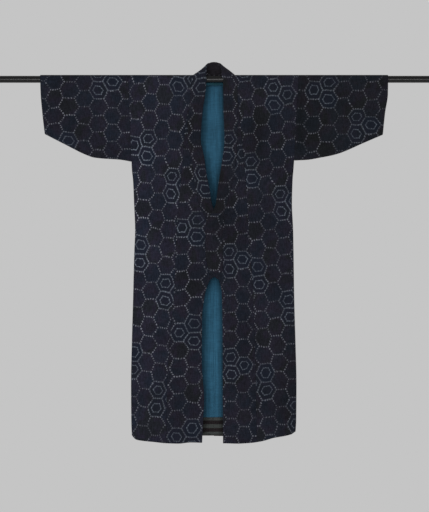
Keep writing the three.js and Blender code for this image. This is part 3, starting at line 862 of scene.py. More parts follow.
def make_body(half):
    """One half of the body: a wall between its outer and its inner grid, without the squares between
    the collar's seam and the middle, up to the cut behind the neck."""
    outer, inner = body_grid(half, "outer"), body_grid(half, "inner")
    rows_front = (len(outer) - ARC_ROWS) // 2
    side_columns = len(body_columns(np.zeros((1, 1)), np.zeros((1, 1)))[1]) - 1
    cut_row = rows_front + int(NECK_CUT / ARC_STEP)
    rows, columns = np.indices((outer.shape[0] - 1, outer.shape[1] - 1))
    shell = wall(outer, inner, (columns < side_columns) | (rows >= cut_row))
    name = f"body_{half.name}"
    maps = panel_maps(shell, name, outer[..., 0], unrolled(outer, rows_front))
    piece = make_cloth(name, shell, maps, lined_materials(), lined(shell))
    front, back = outer[:rows_front], outer[rows_front + ARC_ROWS :]
    area = flat_area(np.abs(front[:, 0, 0] - front[:, side_columns, 0]), front[:, 0, 2])
    area += flat_area(np.abs(back[:, 0, 0]), back[:, 0, 2])
    area += SHOULDER_CUT * np.pi * RIDE * MM * MM
    return piece


# Sleeve: one piece folded over the rod and closed along its lower edge

def sleeve_along():
    """Shares of the sleeve's width, closer together beside both edges."""
    edge = LIP_STEPS[::-1] / SLEEVE_WIDTH
    plain = mix(edge[-1], 1 - edge[-1], between(EVEN.sleeve))
    return np.concatenate([edge, plain, 1 - edge[::-1]])


def sleeve_grid(half, layer):
    """Rows run from the fold at the bottom up the front, over the rod and down the back. A point lies
    by its share "along" between the armhole and the cuff at its height."""
    along = sleeve_along()[None, :]
    bottom = half.sleeve_bottom(along)
    border = np.minimum(along, 1 - along) * SLEEVE_WIDTH
    inset = layer_inset(layer, lip(border))
    near = FOLD_STEPS[:, None]
    share = between(EVEN.sleeve_rows)[:, None]
    z = np.concatenate([bottom + near, mix(bottom + near[-1], 0, share)])
    near = np.concatenate([near, np.full_like(share, near[-1, 0])])

    def out_at(height):
        return mix(half.armhole(height) + SEWN / 2, half.cuff(height), along)

    step = inset * np.maximum(1 - near / EDGE_ROUND, 0)
    front, back = (
        face_points(face, half, out_at(z), z + step, near + step, inset) for face in (FRONT, BACK)
    )
    fold = np.stack([half.sign * out_at(bottom), bottom * 0, bottom + inset], -1)
    angle = np.linspace(0, 180, ARC_ROWS)[:, None]
    over = arc_points(half, out_at(RIDE * np.sin(np.radians(angle))), angle, inset)
    return np.concatenate([fold, front, over, back[::-1]])


def make_sleeve(half):
    """One sleeve: a looped wall between its outer and its inner grid."""
    outer, inner = sleeve_grid(half, "outer"), sleeve_grid(half, "inner")
    shell = wall(outer, inner, looped=True)
    chart = np.concatenate([outer, outer[:1]])
    rows_front = (len(outer) - ARC_ROWS + 1) // 2
    name = f"sleeve_{half.name}"
    maps = panel_maps(shell, name, chart[..., 0], unrolled(chart, rows_front))
    piece = make_cloth(name, shell, maps, lined_materials(), np.where(shell.side == 1, 1, 0))
    along = sleeve_along()
    around = -2 * half.sleeve_bottom(along) + np.pi * RIDE
    return piece


# Overlap panel: a long wedge between the front and the collar, and the front edge itself below

def overlap_grid(half, layer):
    """Rows run down from the tip. A point lies by its share between the seam and the collar's line,
    or between that and the free edge, and is lowered by the slant below the collar's end."""
    special = [half.tip, COLLAR_END, COLLAR_END - 4, COLLAR_END - LIP, TURN_END]
    level, share = hanging_rows(half.tip, special)
    seam = half.overlap_seam(level) - SEWN / 2
    edge = half.free_edge(level)
    above = level > COLLAR_END
    end_seam, end_turn, end_edge = (
        float(f(COLLAR_END)) for f in (half.overlap_seam, half.collar_seam, half.free_edge)
    )
    turn_share = (end_seam - end_turn) / (end_seam - end_edge)
    turn = np.where(above, half.collar_seam(level) + SEWN / 2, mix(seam, edge, turn_share))
    width = seam - turn
    small = np.minimum(LIP_STEPS / np.maximum(width, 1), 0.45)
    panel = between(EVEN.overlap)
    first_share = small[:, ::-1]
    last_share = 1 - small
    panel_share = mix(first_share[:, -1:], last_share[:, :1], panel)
    shares = np.concatenate([first_share, panel_share, last_share], 1)
    out = mix(seam, turn, shares)
    strip = between(EVEN.turned)
    strip_out = np.concatenate([mix(turn, edge + LIP_STEPS[0], strip), edge + LIP_STEPS], 1)
    strip_share = (turn - strip_out) / np.maximum(turn - edge, 1)
    slant = clamp((level - TURN_END) / (COLLAR_END - TURN_END)) * ~above
    drop = np.concatenate([out * 0, COLLAR_END_SLANT * strip_share * slant], 1)
    out = np.concatenate([out, strip_out], 1)
    hem = half.front_hem(out)
    z = hang_height(level, share, hem) - drop
    turned = np.where(above, out - turn, out - edge)
    under_collar = np.where(above, FAR, COLLAR_END - level)
    in_strip = np.arange(out.shape[1])[None, :] >= shares.shape[1]
    border = np.minimum(np.minimum(seam - out, np.maximum(turned, 0)), z - hem)
    border = np.where(in_strip, np.minimum(border, under_collar), border)
    inset = layer_inset(layer, lip(np.maximum(border, 0)))
    return face_points(FRONT, half, out, z, LINING_INSET, inset), level, shares.shape[1]


def make_overlap(half):
    """One overlap panel: a wall that takes in the turned strip only below the collar's end."""
    outer, level, panel_columns = overlap_grid(half, "outer")
    inner = overlap_grid(half, "inner")[0]
    end_row = int(np.argmin(np.abs(level - COLLAR_END)))
    rows, columns = np.indices((outer.shape[0] - 1, outer.shape[1] - 1))
    shell = wall(outer, inner, (columns < panel_columns - 1) | (rows >= end_row))
    name = f"overlap_panel_{half.name}"
    maps = panel_maps(shell, name, outer[..., 0], outer[..., 2])
    piece = make_cloth(name, shell, maps, lined_materials(), lined(shell))
    return piece


# Collar: one folded band from the left end, round the neck, to the right end

def collar_shares():
    """Shares of the band's width, closer together beside both edges."""
    edge = LIP_STEPS / COLLAR_BAND
    plain = mix(edge[0], 1 - edge[0], between(EVEN.collar))
    return np.concatenate([edge[::-1], plain, 1 - edge])


def collar_lip(shares):
    """How far the band's faces turn in beside both of its edges."""
    return lip(np.minimum(shares, 1 - shares) * COLLAR_BAND)


def collar_front(half, level, layer):
    """Rows of the band on the front, from its end up to the shoulder. A point lies by its share
    between the seam and the free edge, and near the end it is lowered by its share of the slant."""
    level = level[:, None]
    shares = collar_shares()[None, :]
    out = mix(half.collar_seam(level) - SEWN / 2, half.free_edge(level), shares)
    end = smooth((COLLAR_END - level) / SLANT_OVER + 1)
    z = level - end * (COLLAR_END_SLANT * shares - SEAM)
    inset = layer_inset(layer, collar_lip(shares), COLLAR_WALL, COLLAR_PROUD)
    return face_points(FRONT, half, out, z, LINING_INSET, inset)


def collar_neck(half):
    """Stations of the band round the neck, from the shoulder to the nape: the seam on the outer and
    the inner face, the free edge, and how far the band arches between them."""
    gap = np.where(COLLAR_NECK["angle"] == NECK_CUT, NECK_CUT_GAP, 0)
    angle = COLLAR_NECK["angle"] - gap
    out = np.maximum(COLLAR_NECK["seam"] - SEAM, 0)
    seam = arc_points(half, out, angle, -COLLAR_PROUD)
    inside = arc_points(half, out, angle, COLLAR_WALL - COLLAR_PROUD)
    edge = np.stack(
        [half.sign * COLLAR_NECK["edge_out"], COLLAR_NECK["edge_y"], COLLAR_NECK["edge_z"]], -1
    )
    return seam, inside, edge, COLLAR_NECK["arch_" + half.name]


def collar_neck_layers(half):
    """Both faces of the band at each neck station: the straight line from seam to edge, lifted by
    4 s (1 - s) times the arch along the direction that points away from the neck."""
    seam, inside, edge, arch = collar_neck(half)
    shares = collar_shares()[None, :, None]
    band = edge - seam
    band /= np.linalg.norm(band, axis=-1, keepdims=True)
    away = seam * (0.6, 1, 0)
    away = away / np.linalg.norm(away, axis=-1, keepdims=True) + (0, 0, 0.6)
    outward = away - band * (away * band).sum(-1, keepdims=True)
    outward /= np.linalg.norm(outward, axis=-1, keepdims=True)
    rise = 4 * shares * (1 - shares) * arch[:, None, None]
    outer = mix(seam[:, None], edge[:, None], shares) + outward[:, None] * rise
    through = mix((inside - seam)[:, None], -COLLAR_WALL * outward[:, None], clamp(shares * 2))
    thin = collar_lip(shares) / COLLAR_WALL
    return outer + through * thin, outer + through * (1 - thin)


def lengths_along(points):
    """The length of a row of points up to each of them."""
    return np.concatenate([[0], np.cumsum(np.linalg.norm(np.diff(points, axis=0), axis=1))])


def collar_grid():
    """Both faces of the whole band, with the levels of its straight sides."""
    special = [COLLAR_END + step for step in (0.4, 1.3, 4)]
    level = steps(COLLAR_END, 0, ROW_STEP, special)
    layers = []
    for number, layer in enumerate(("outer", "inner")):
        left, right = (collar_front(half, level, layer) for half in HALVES)
        left_neck, right_neck = (collar_neck_layers(half)[number] for half in HALVES)
        stations = np.concatenate([left[-3:], left_neck, right_neck[-2::-1], right[:-4:-1]])
        path = lengths_along(stations.mean(1))
        if layer == "outer":
            start, end = path[2], path[-3]
            fine = np.linspace(start, end, int((end - start) / NECK_STEP) + 1)[1:-1]
            fine = (fine - start) / (end - start)
        neck = smooth_through(path, stations, mix(path[2], path[-3], fine))
        layers.append(np.concatenate([left, neck, right[::-1]]))
    return layers[0], layers[1], level


def make_collar():
    """The collar. Its chart has the distance from the seam and the length along the band, counted
    from a doubled hexagon on each side."""
    outer, inner, level = collar_grid()
    shell = wall(outer, inner)
    shares = collar_shares()
    middle = outer.mean(1)
    path = lengths_along(middle)
    across = np.broadcast_to(shares * COLLAR_BAND, outer.shape[:2])
    length = np.broadcast_to(path[:, None], outer.shape[:2])
    count = len(level)
    rows = len(outer)
    left, right = COLLAR_PATTERN["left"], COLLAR_PATTERN["right"]
    left_at = np.interp(left["z"], level, path[:count])
    right_at = np.interp(-right["z"], -level[::-1], path[rows - count :])
    on_left = shell.row < rows // 2
    pieced = middle[np.minimum(shell.row + 1, rows - 1), 2] < COLLAR_PIECED
    u, v = across.reshape(-1)[shell.charts], length.reshape(-1)[shell.charts]
    column = np.where(on_left[:, None], u - left["out"], right["out"] - u) / COLLAR_COLUMN
    row = np.where(on_left[:, None], (left_at - v) / left["step"], (v - right_at) / right["step"])
    row = row + np.where(pieced & ~on_left, COLLAR_PIECED_ROWS, 0)[:, None]
    maps = {
        "Cloth": np.stack([u, v], -1) * MM,
        "Hexagons": np.stack([column * math.sqrt(3) / 2, row], -1),
    }
    materials = [patterned_cloth(), inner_cloth_painted_shade()]
    piece = make_cloth("collar", shell, maps, materials, np.where(shell.side == 1, 1, 0))
    return piece


# Lining and hem facing inside the back

def inside_grid(half, level, share, layer):
    """Rows on the back's own curve, under its wall, from near the side seam to the middle seam. Near
    the middle the layer stands off the wall in small ripples, a sine of the height and the width."""
    above = level > half.underarm
    edge = np.where(above, half.armhole(level) - SEAM / 2, half.body_side(level)) - LINING_INSET
    last = SEWN / 2 + LIP_STEPS
    across = np.linspace(0, 1, EVEN.inside)
    ends = np.broadcast_to(last[1:], (len(level), len(last) - 1))
    out = np.concatenate([mix(edge, last[0], across), ends], 1)
    bottom = half.back_hem(out) + FACING_ABOVE_HEM
    z = hang_height(level, share, bottom)
    border = np.minimum(out - SEWN / 2, z - bottom)
    thin = np.minimum(lip(np.maximum(border, 0)), LINING_WALL * 0.4)
    inset = WALL + SEAM + layer_inset(layer, thin, LINING_WALL)
    points = face_points(BACK, half, out, z, LINING_INSET, inset)
    waves = np.sin(points[..., 2] / RIPPLE.tall + points[..., 0] / RIPPLE.wide)
    ripple = RIPPLE.depth * waves * np.exp(-((out / RIPPLE.reach) ** 2))
    points[..., 1] -= np.where(z < RIPPLE.top, np.maximum(ripple, 0), 0)
    return points


def make_inside(half, node, rows, material):
    """A layer inside the back: a wall between the two grids of its rows."""
    level, share = rows
    outer, inner = (inside_grid(half, level, share, layer) for layer in ("outer", "inner"))
    shell = wall(outer, inner)
    name = f"{node}_{half.name}"
    place = outer[..., [0, 2]].reshape(-1, 2)[shell.charts] * MM
    piece = make_cloth(name, shell, {"Cloth": place}, [material], shell.side * 0)
    return piece


def make_lining(half):
    """The blue lining of one half of the back."""
    level = steps(LINING_TOP, FACING_TOP + SEAM, ROW_STEP)[:, None]
    return make_inside(half, "back_lining", (level, level * 0), lining_cloth())


def make_facing(half):
    """The striped facing at the hem of one half of the back."""
    share = np.concatenate([[0], HEM_SHARES])[:, None]
    rows = mix(FACING_TOP, -LENGTH, share), share
    return make_inside(half, "hem_facing", rows, facing_cloth())


# Rod

def make_rod():
    """A smooth round bar with softly rounded ends: a circle carried along X, its radius drawn in over
    the last millimetres as a quarter circle."""
    low, high = (corner[0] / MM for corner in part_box("rod"))
    turn = np.linspace(0, np.pi / 2, 5)
    end = low + ROD_END_ROUND * (1 - np.sin(turn))
    radius = ROD_RADIUS - ROD_END_ROUND * (1 - np.cos(turn))
    inner = np.linspace(low, high, ROD_RINGS)[1:-1]
    x = np.concatenate([end[::-1], inner, low + high - end])[:, None]
    size = np.concatenate([radius[::-1], np.full(len(inner), ROD_RADIUS), radius])[:, None]
    angle = np.arange(ROD_SIDES) * 2 * np.pi / ROD_SIDES
    rings = np.broadcast_arrays(x, size * np.cos(angle), size * np.sin(angle))
    points = np.stack(rings, -1).reshape(-1, 3)
    index = np.arange(len(points)).reshape(-1, ROD_SIDES)
    a, b = index[:-1], index[1:]
    quads = np.stack([a, np.roll(a, -1, 1), np.roll(b, -1, 1), b], -1).reshape(-1, 4)
    faces = quads.tolist() + [index[0][::-1].tolist(), index[-1].tolist()]
    mesh = bpy.data.meshes.new("rod_bar")
    mesh.from_pydata((points * MM).tolist(), [], faces)
    mesh.materials.append(rod_paint())
    mesh.polygons.foreach_set("use_smooth", np.arange(len(faces)) < len(quads))
    mesh.update()
    piece = bpy.data.objects.new("rod_bar", mesh)
    bpy.context.scene.collection.objects.link(piece)
    settle(piece, "rod")
    return piece


# Materials

STRIPE_REPEAT = 0.0262 # metres, one dark and one pale stripe of the hem facing
STRIPE_START = 0.004 # metres, from the facing's top down to the middle of its first pale stripe
WEAVE_STREAKS = 260.0 # in a metre across the warp
WEAVE_GRAIN = 0.28 # and how short they are
# How the ground's own colour is changed from bluish over purple to brownish hexagons, and where
# between 0 and 1 each of these tints lies
GROUND_TINTS = (
    (0.74, 0.92, 1.0),
    (0.92, 1.0, 1.03),
    (1.03, 0.98, 1.09),
    (1.12, 0.96, 1.04),
    (0.84, 0.88, 0.76),
)
GROUND_PLACES = (0.18, 0.34, 0.46, 0.6, 0.73)


class Nodes:
    """Adds nodes to a tree, fed with numbers, colours or the outputs of other nodes."""

    def __init__(self, tree):
        self.tree = tree

    def add(self, kind, **settings):
        node = self.tree.nodes.new(kind)
        for key, value in settings.items():
            setattr(node, key, value)
        return node

    def feed(self, socket, value):
        if isinstance(value, bpy.types.NodeSocket):
            self.tree.links.new(value, socket)
        else:
            socket.default_value = value

    def math(self, operation, *values):
        node = self.add("ShaderNodeMath", operation=operation)
        for socket, value in zip(node.inputs, values):
            self.feed(socket, value)
        return node.outputs[0]

    def step(self, value, start, end, low=0.0, high=1.0):
        """A smooth rise from low to high between start and end."""
        node = self.add("ShaderNodeMapRange", interpolation_type="SMOOTHSTEP")
        keys = ("Value", "From Min", "From Max", "To Min", "To Max")
        for key, number in zip(keys, (value, start, end, low, high)):
            self.feed(node.inputs[key], number)
        return node.outputs[0]

    def blend(self, share, first, second, kind="MIX"):
        node = self.add("ShaderNodeMix", data_type="RGBA", blend_type=kind)
        self.feed(node.inputs["Factor"], share)
        self.feed(node.inputs["A"], first)
        self.feed(node.inputs["B"], second)
        return node.outputs["Result"]

    def times(self, first, second):
        """Two colours multiplied."""
        return self.blend(1.0, first, second, "MULTIPLY")

    def grey(self, value):
        return self.join(value, value, value)

    def uv(self, name):
        return self.add("ShaderNodeUVMap", uv_map=name).outputs["UV"]

    def tone(self):
        """The panel's tint and fading, and the pattern's strength as the alpha."""
        return self.add("ShaderNodeAttribute", attribute_name="Tone").outputs

    def join(self, x, y, z=0.0):
        node = self.add("ShaderNodeCombineXYZ")
        for socket, value in zip(node.inputs, (x, y, z)):
            self.feed(socket, value)
        return node.outputs[0]

    def split(self, vector):
        """The first two parts of a vector."""
        node = self.add("ShaderNodeSeparateXYZ")
        self.feed(node.inputs[0], vector)
        return node.outputs[0], node.outputs[1]

    def noise(self, vector, scale, detail=2.0):
        """Noise on a map."""
        node = self.add("ShaderNodeTexNoise", noise_dimensions="2D")
        self.feed(node.inputs["Vector"], vector)
        node.inputs["Scale"].default_value = scale
        node.inputs["Detail"].default_value = detail
        return node.outputs["Fac"]

    def clouds(self, scale, detail=2.0):
        """Noise in the object's own space."""
        node = self.add("ShaderNodeTexNoise")
        self.feed(node.inputs["Vector"], self.add("ShaderNodeTexCoord").outputs["Object"])
        node.inputs["Scale"].default_value = scale
        node.inputs["Detail"].default_value = detail
        return node.outputs["Fac"]

    def noise_pair(self, vector, scale):
        """Two noises on a map, unlike each other."""
        node = self.add("ShaderNodeTexNoise", noise_dimensions="2D")
        self.feed(node.inputs["Vector"], vector)
        node.inputs["Scale"].default_value = scale
        return self.split(node.outputs["Color"])

    def group(self, tree, **values):
        node = self.add("ShaderNodeGroup", node_tree=tree)
        for key, value in values.items():
            self.feed(node.inputs[key], value)
        return node.outputs


def new_group(name, vector, numbers, outputs):
    """An empty node group that takes a vector and numbers and gives numbers, all named, and the
    sockets of its input and output nodes."""
    tree = bpy.data.node_groups.new(name, "ShaderNodeTree")
    tree.interface.new_socket(name=vector, in_out="INPUT", socket_type="NodeSocketVector")
    for key in numbers:
        tree.interface.new_socket(name=key, in_out="INPUT", socket_type="NodeSocketFloat")
    for key in outputs:
        tree.interface.new_socket(name=key, in_out="OUTPUT", socket_type="NodeSocketFloat")
    nodes = Nodes(tree)
    return tree, nodes, nodes.add("NodeGroupInput").outputs, nodes.add("NodeGroupOutput").inputs


HEX_PITCH = math.sqrt(3) # across two columns of regular hexagons that are one high
DOTS_PER_EDGE = 4
# As shares of the hexagon's height: where an edge's dots and a doubled one's outline begin and are
# full, how far out the smaller hexagon lies, and how far from it its line ends and is full
LINE = (0.452, 0.474)
OUTLINE = (0.455, 0.476)
RING = 0.238
RING_LINE = (0.03, 0.014)
RING_WIDE = 1.14 # how much wider the smaller one is than a regular hexagon
FEATHER = 0.07 # how far single threads shift the drawing
SLOW_BEND = 0.3 # how far slow noise does
SMALL_BEND = 0.05 # and finer noise
REPEAT = 6 # columns and rows
DOUBLED_CELLS = (0, 1, 50.5, 22, 23, 32.5) # 10 x column + row in the repeat


def hexagon_group():
    """Hexagons in columns, one high, as in the traditional tortoiseshell pattern. A point belongs to
    the nearer of two rectangular lattices. Its distance is the larger of |y| and 0.87 |x| + 0.5 |y|,
    and is 0.5 on an edge. Plain hexagons have dots along their edges, placed by a cosine of the run
    along the edge. Two groups of three in each repeat have full lines and a smaller hexagon inside.
    Slow noise bends the whole drawing, and fine noise along the threads feathers it."""
    if "Hexagon ikat" in bpy.data.node_groups:
        return bpy.data.node_groups["Hexagon ikat"]
    outputs = ("Dots", "Lines", "Tint", "Doubled")
    tree, n, given, wanted = new_group("Hexagon ikat", "Cells", (), outputs)
    x, y = n.split(given["Cells"])
    thread_x = n.noise(n.join(n.math("MULTIPLY", x, 1.3), n.math("MULTIPLY", y, 38)), 1.0, 1.0)
    thread_y = n.noise(n.join(n.math("MULTIPLY", x, 38), n.math("MULTIPLY", y, 1.3)), 1.0, 1.0)
    slow, finer = n.noise_pair(given["Cells"], 0.75), n.noise_pair(given["Cells"], 2.7)

    def shifted(value, thread, k):
        """The value, moved by the noise along the threads and by the slow and the finer noise."""
        fine = n.math("MULTIPLY", n.math("SUBTRACT", thread, 0.5), FEATHER)
        value = n.math("ADD", value, fine)
        value = n.math("MULTIPLY_ADD", n.math("SUBTRACT", slow[k], 0.5), SLOW_BEND, value)
        return n.math("MULTIPLY_ADD", n.math("SUBTRACT", finer[k], 0.5), SMALL_BEND, value)

    x, y = shifted(x, thread_x, 0), shifted(y, thread_y, 1)

    def lattice(offset_x, offset_y):
        """The nearest middle in one lattice, and how far off it the point lies."""
        number_x = n.math("ROUND", n.math("DIVIDE", n.math("SUBTRACT", x, offset_x), HEX_PITCH))
        number_y = n.math("ROUND", n.math("SUBTRACT", y, offset_y))
        centre_x = n.math("MULTIPLY_ADD", number_x, HEX_PITCH, offset_x)
        centre_y = n.math("ADD", number_y, offset_y)
        away_x = n.math("ABSOLUTE", n.math("SUBTRACT", x, centre_x))
        away_y = n.math("ABSOLUTE", n.math("SUBTRACT", y, centre_y))
        slanted = n.math("MULTIPLY_ADD", away_x, HEX_PITCH / 2, n.math("MULTIPLY", away_y, 0.5))
        distance = n.math("MAXIMUM", away_y, slanted)
        column = n.math("MULTIPLY_ADD", number_x, 2, 1 if offset_x else 0)
        half_y = n.math("MULTIPLY", away_y, 0.5)
        wide = n.math("MULTIPLY_ADD", away_x, HEX_PITCH / 2 / RING_WIDE, half_y)
        return distance, away_x, away_y, column, centre_y, slanted, n.math("MAXIMUM", away_y, wide)

    first, second = lattice(0, 0), lattice(HEX_PITCH / 2, 0.5)
    is_second = n.math("LESS_THAN", second[0], first[0])

    def pick(k):
        """One of those values, for the nearer lattice."""
        change = n.math("SUBTRACT", second[k], first[k])
        return n.math("MULTIPLY_ADD", change, is_second, first[k])

    distance, away_x, away_y, column, row, slanted, inner = (pick(k) for k in range(7))
    flat_edge = n.math("GREATER_THAN", away_y, slanted)
    half_x = n.math("MULTIPLY", away_x, 0.5)
    slant_run = n.math("SUBTRACT", n.math("MULTIPLY", away_y, HEX_PITCH / 2), half_x)
    run = n.math("MULTIPLY_ADD", n.math("SUBTRACT", away_x, slant_run), flat_edge, slant_run)
    beat = n.math("COSINE", n.math("MULTIPLY", run, 2 * math.pi * DOTS_PER_EDGE * HEX_PITCH))
    dot = n.step(beat, -0.45, 0.55)
    edge = n.step(distance, *LINE)
    uneven = n.step(n.noise(n.join(x, y), 7.5, 2.0), 0.36, 0.62, 0.22, 1.0)
    worn = n.step(n.noise(given["Cells"], 0.6, 2.0), 0.32, 0.66, 0.55, 1.1)
    strength = n.math("MULTIPLY", uneven, worn)
    column_in = n.math("FLOORED_MODULO", column, REPEAT)
    row_in = n.math("FLOORED_MODULO", row, REPEAT)
    key = n.math("MULTIPLY_ADD", column_in, 10, row_in)
    doubled = 0.0
    for cell in DOUBLED_CELLS:
        doubled = n.math("ADD", doubled, n.math("COMPARE", key, cell, 0.1))
    from_ring = n.math("ABSOLUTE", n.math("SUBTRACT", inner, RING))
    ring = n.step(from_ring, *RING_LINE)
    outline = n.step(distance, *OUTLINE, 0.0, 0.9)
    lines = n.math("MULTIPLY", n.math("MAXIMUM", ring, outline), doubled)
    beaded = n.math("MULTIPLY_ADD", dot, 0.5, 0.52)
    firm = n.math("MULTIPLY_ADD", strength, 0.75, 0.28)
    plain = n.math("MULTIPLY", n.math("MULTIPLY", dot, edge), n.math("SUBTRACT", 1, doubled))
    n.feed(wanted["Dots"], n.math("MULTIPLY", plain, strength))
    n.feed(wanted["Lines"], n.math("MULTIPLY", n.math("MULTIPLY", lines, beaded), firm))
    white = n.add("ShaderNodeTexWhiteNoise", noise_dimensions="2D")
    n.feed(white.inputs["Vector"], n.join(column, row))
    patch = n.step(n.noise(given["Cells"], 1.1, 2.0), 0.3, 0.7)
    tint = n.math("MULTIPLY_ADD", white.outputs["Value"], 0.55, n.math("MULTIPLY", patch, 0.45))
    n.feed(wanted["Tint"], tint)
    n.feed(wanted["Doubled"], n.math("MULTIPLY", doubled, n.step(distance, 0.5, 0.4)))
    return tree


def weave_group():
    """Plain weave on the cloth's own UV map in metres: a product of two cosines, one thread apart,
    slubs that run along the warp and the weft, broader streaks of uneven dye along both, and clouds.
    "Grain" is how short the streaks along the warp are."""
    if "Plain weave" in bpy.data.node_groups:
        return bpy.data.node_groups["Plain weave"]
    numbers, outputs = ("Threads", "Streaks", "Grain"), ("Height", "Shade", "Streak", "Cloud")
    tree, n, given, wanted = new_group("Plain weave", "Place", numbers, outputs)
    x, y = n.split(given["Place"])
    u, v = n.math("MULTIPLY", x, given["Threads"]), n.math("MULTIPLY", y, given["Threads"])
    cross = n.math(
        "MULTIPLY",
        n.math("COSINE", n.math("MULTIPLY", u, math.pi)),
        n.math("COSINE", n.math("MULTIPLY", v, math.pi)),
    )

    def along(first, second, ratio):
        """Noise drawn out along the second direction."""
        return n.noise(n.join(first, n.math("MULTIPLY", second, ratio)), 0.9, 2.0)

    slub = n.math("MULTIPLY", n.math("ADD", along(u, v, 0.035), along(v, u, 0.035)), 0.5)
    u, v = n.math("MULTIPLY", x, given["Streaks"]), n.math("MULTIPLY", y, given["Streaks"])
    across = n.math("MULTIPLY", along(v, u, 0.3), 0.35)
    streak = n.math("MULTIPLY_ADD", along(u, v, given["Grain"]), 0.65, across)
    n.feed(wanted["Height"], n.math("MULTIPLY_ADD", cross, 0.25, slub))
    n.feed(wanted["Shade"], slub)
    n.feed(wanted["Streak"], streak)
    n.feed(wanted["Cloud"], n.noise(given["Place"], 7.0, 3.0))
    return tree


def new_material(name):
    """A node material with one Principled BSDF, and a helper for its tree."""
    material = bpy.data.materials.new(name)
    material.use_nodes = True
    tree = material.node_tree
    shader = next(node for node in tree.nodes if node.type == "BSDF_PRINCIPLED")
    return material, Nodes(tree), shader.inputs


def cloth_finish(n, shader, height, sheen):
    """Matte cotton: high roughness, little gloss, a soft sheen, and the weave as bump."""
    shader["Roughness"].default_value = 0.9
    shader["Specular IOR Level"].default_value = 0.08
    shader["Sheen Weight"].default_value = sheen
    shader["Sheen Roughness"].default_value = 0.6
    bump = n.add("ShaderNodeBump")
    bump.inputs["Strength"].default_value = 0.5
    bump.inputs["Distance"].default_value = 0.0006
    n.feed(bump.inputs["Height"], height)
    n.feed(shader["Normal"], bump.outputs["Normal"])


def weave(n, threads, streaks=WEAVE_STREAKS, grain=WEAVE_GRAIN):
    """The outputs of the plain weave, with so many threads and streaks in a metre."""
    values = dict(Place=n.uv("Cloth"), Threads=threads, Streaks=streaks, Grain=grain)
    return n.group(weave_group(), **values)


def shaded(n, woven, threads, streaks):
    """One grey that darkens and lightens a cloth by its threads, its streaks and broad clouds."""
    thread = n.step(woven["Shade"], 0.3, 0.7, 1 - threads, 1 + threads)
    streak = n.step(woven["Streak"], 0.32, 0.68, 1 - streaks, 1 + streaks)
    cloud = n.step(woven["Cloud"], 0.3, 0.7, 0.88, 1.13)
    return n.grey(n.math("MULTIPLY", n.math("MULTIPLY", thread, streak), cloud))


def patterned_cloth():
    """Dark indigo cotton with pale hexagons. The ground differs a little between hexagons."""
    if "Hexagon cloth" in bpy.data.materials:
        return bpy.data.materials["Hexagon cloth"]
    colours = bpy.context.scene.kimono_colours
    material, n, shader = new_material("Hexagon cloth")
    woven = weave(n, colours.threads)
    pattern = n.group(hexagon_group(), Cells=n.uv("Hexagons"))
    ramp = n.add("ShaderNodeValToRGB")
    n.feed(ramp.inputs[0], pattern["Tint"])
    places = ramp.color_ramp.elements
    for place in GROUND_PLACES[1:-1]:
        places.new(place)
    for element, place, tint in zip(places, GROUND_PLACES, GROUND_TINTS):
        element.position = place
        element.color = (*(g * t for g, t in zip(colours.ground, tint)), 1)
    tone = n.tone()
    base = n.times(n.times(ramp.outputs["Color"], shaded(n, woven, 0.26, 0.24)), tone["Color"])
    bluer = n.blend(n.math("MULTIPLY", pattern["Doubled"], 0.5), base, (*colours.doubled_ground, 1))
    dots, lines = (n.math("MULTIPLY", pattern[key], tone["Alpha"]) for key in ("Dots", "Lines"))
    dotted = n.blend(dots, bluer, (*colours.dots, 1))
    n.feed(shader["Base Color"], n.blend(lines, dotted, (*colours.lines, 1)))
    cloth_finish(n, shader, woven["Height"], 0.015)
    return material


def inner_cloth_painted_shade():
    """The same cotton on the collar's inside, darkened as painted shade, which shows the pattern
    faintly.
    """
    if "Dark inner cloth" in bpy.data.materials:
        return bpy.data.materials["Dark inner cloth"]
    colours = bpy.context.scene.kimono_colours
    material, n, shader = new_material("Dark inner cloth")
    woven = weave(n, colours.threads)
    pattern = n.group(hexagon_group(), Cells=n.uv("Hexagons"))
    dots = n.math("MULTIPLY", pattern["Dots"], colours.inside_pattern)
    base = n.times((*colours.collar_inside_painted_shade, 1), shaded(n, woven, 0.25, 0.3))
    n.feed(shader["Base Color"], n.blend(dots, base, (*colours.dots, 1)))
    cloth_finish(n, shader, woven["Height"], 0.015)
    return material


def lining_cloth():
    """Blue cotton, coarser and a little uneven, with streaks of dye along the warp."""
    if "Blue lining" in bpy.data.materials:
        return bpy.data.materials["Blue lining"]
    colours = bpy.context.scene.kimono_colours
    material, n, shader = new_material("Blue lining")
    woven = weave(n, colours.threads * 0.7, 170.0, 0.04)
    base = n.times((*colours.lining, 1), shaded(n, woven, 0.14, 0.16))
    n.feed(shader["Base Color"], n.times(base, n.tone()["Color"]))
    cloth_finish(n, shader, woven["Height"], 0.03)
    return material


def facing_cloth():
    """Dark cotton with pale stripes along the hem, by a cosine of the height on the cloth's map."""
    if "Striped facing" in bpy.data.materials:
        return bpy.data.materials["Striped facing"]
    colours = bpy.context.scene.kimono_colours
    material, n, shader = new_material("Striped facing")
    woven = weave(n, colours.threads * 0.8)
    height = n.split(n.uv("Cloth"))[1]
    below = n.math("SUBTRACT", height, FACING_TOP * MM - STRIPE_START)
    wave = n.math("COSINE", n.math("MULTIPLY", below, 2 * math.pi / STRIPE_REPEAT))
    stripe = n.step(wave, -0.35, 0.35)
    base = n.blend(stripe, (*colours.facing_dark, 1), (*colours.facing_pale, 1))
    base = n.times(base, shaded(n, woven, 0.18, 0.18))
    n.feed(shader["Base Color"], n.times(base, n.tone()["Color"]))
    cloth_finish(n, shader, woven["Height"], 0.03)
    return material


def lined_materials():
    """The materials of a lined panel, in the order of the numbers that "lined" gives."""
    return [patterned_cloth(), lining_cloth(), facing_cloth()]


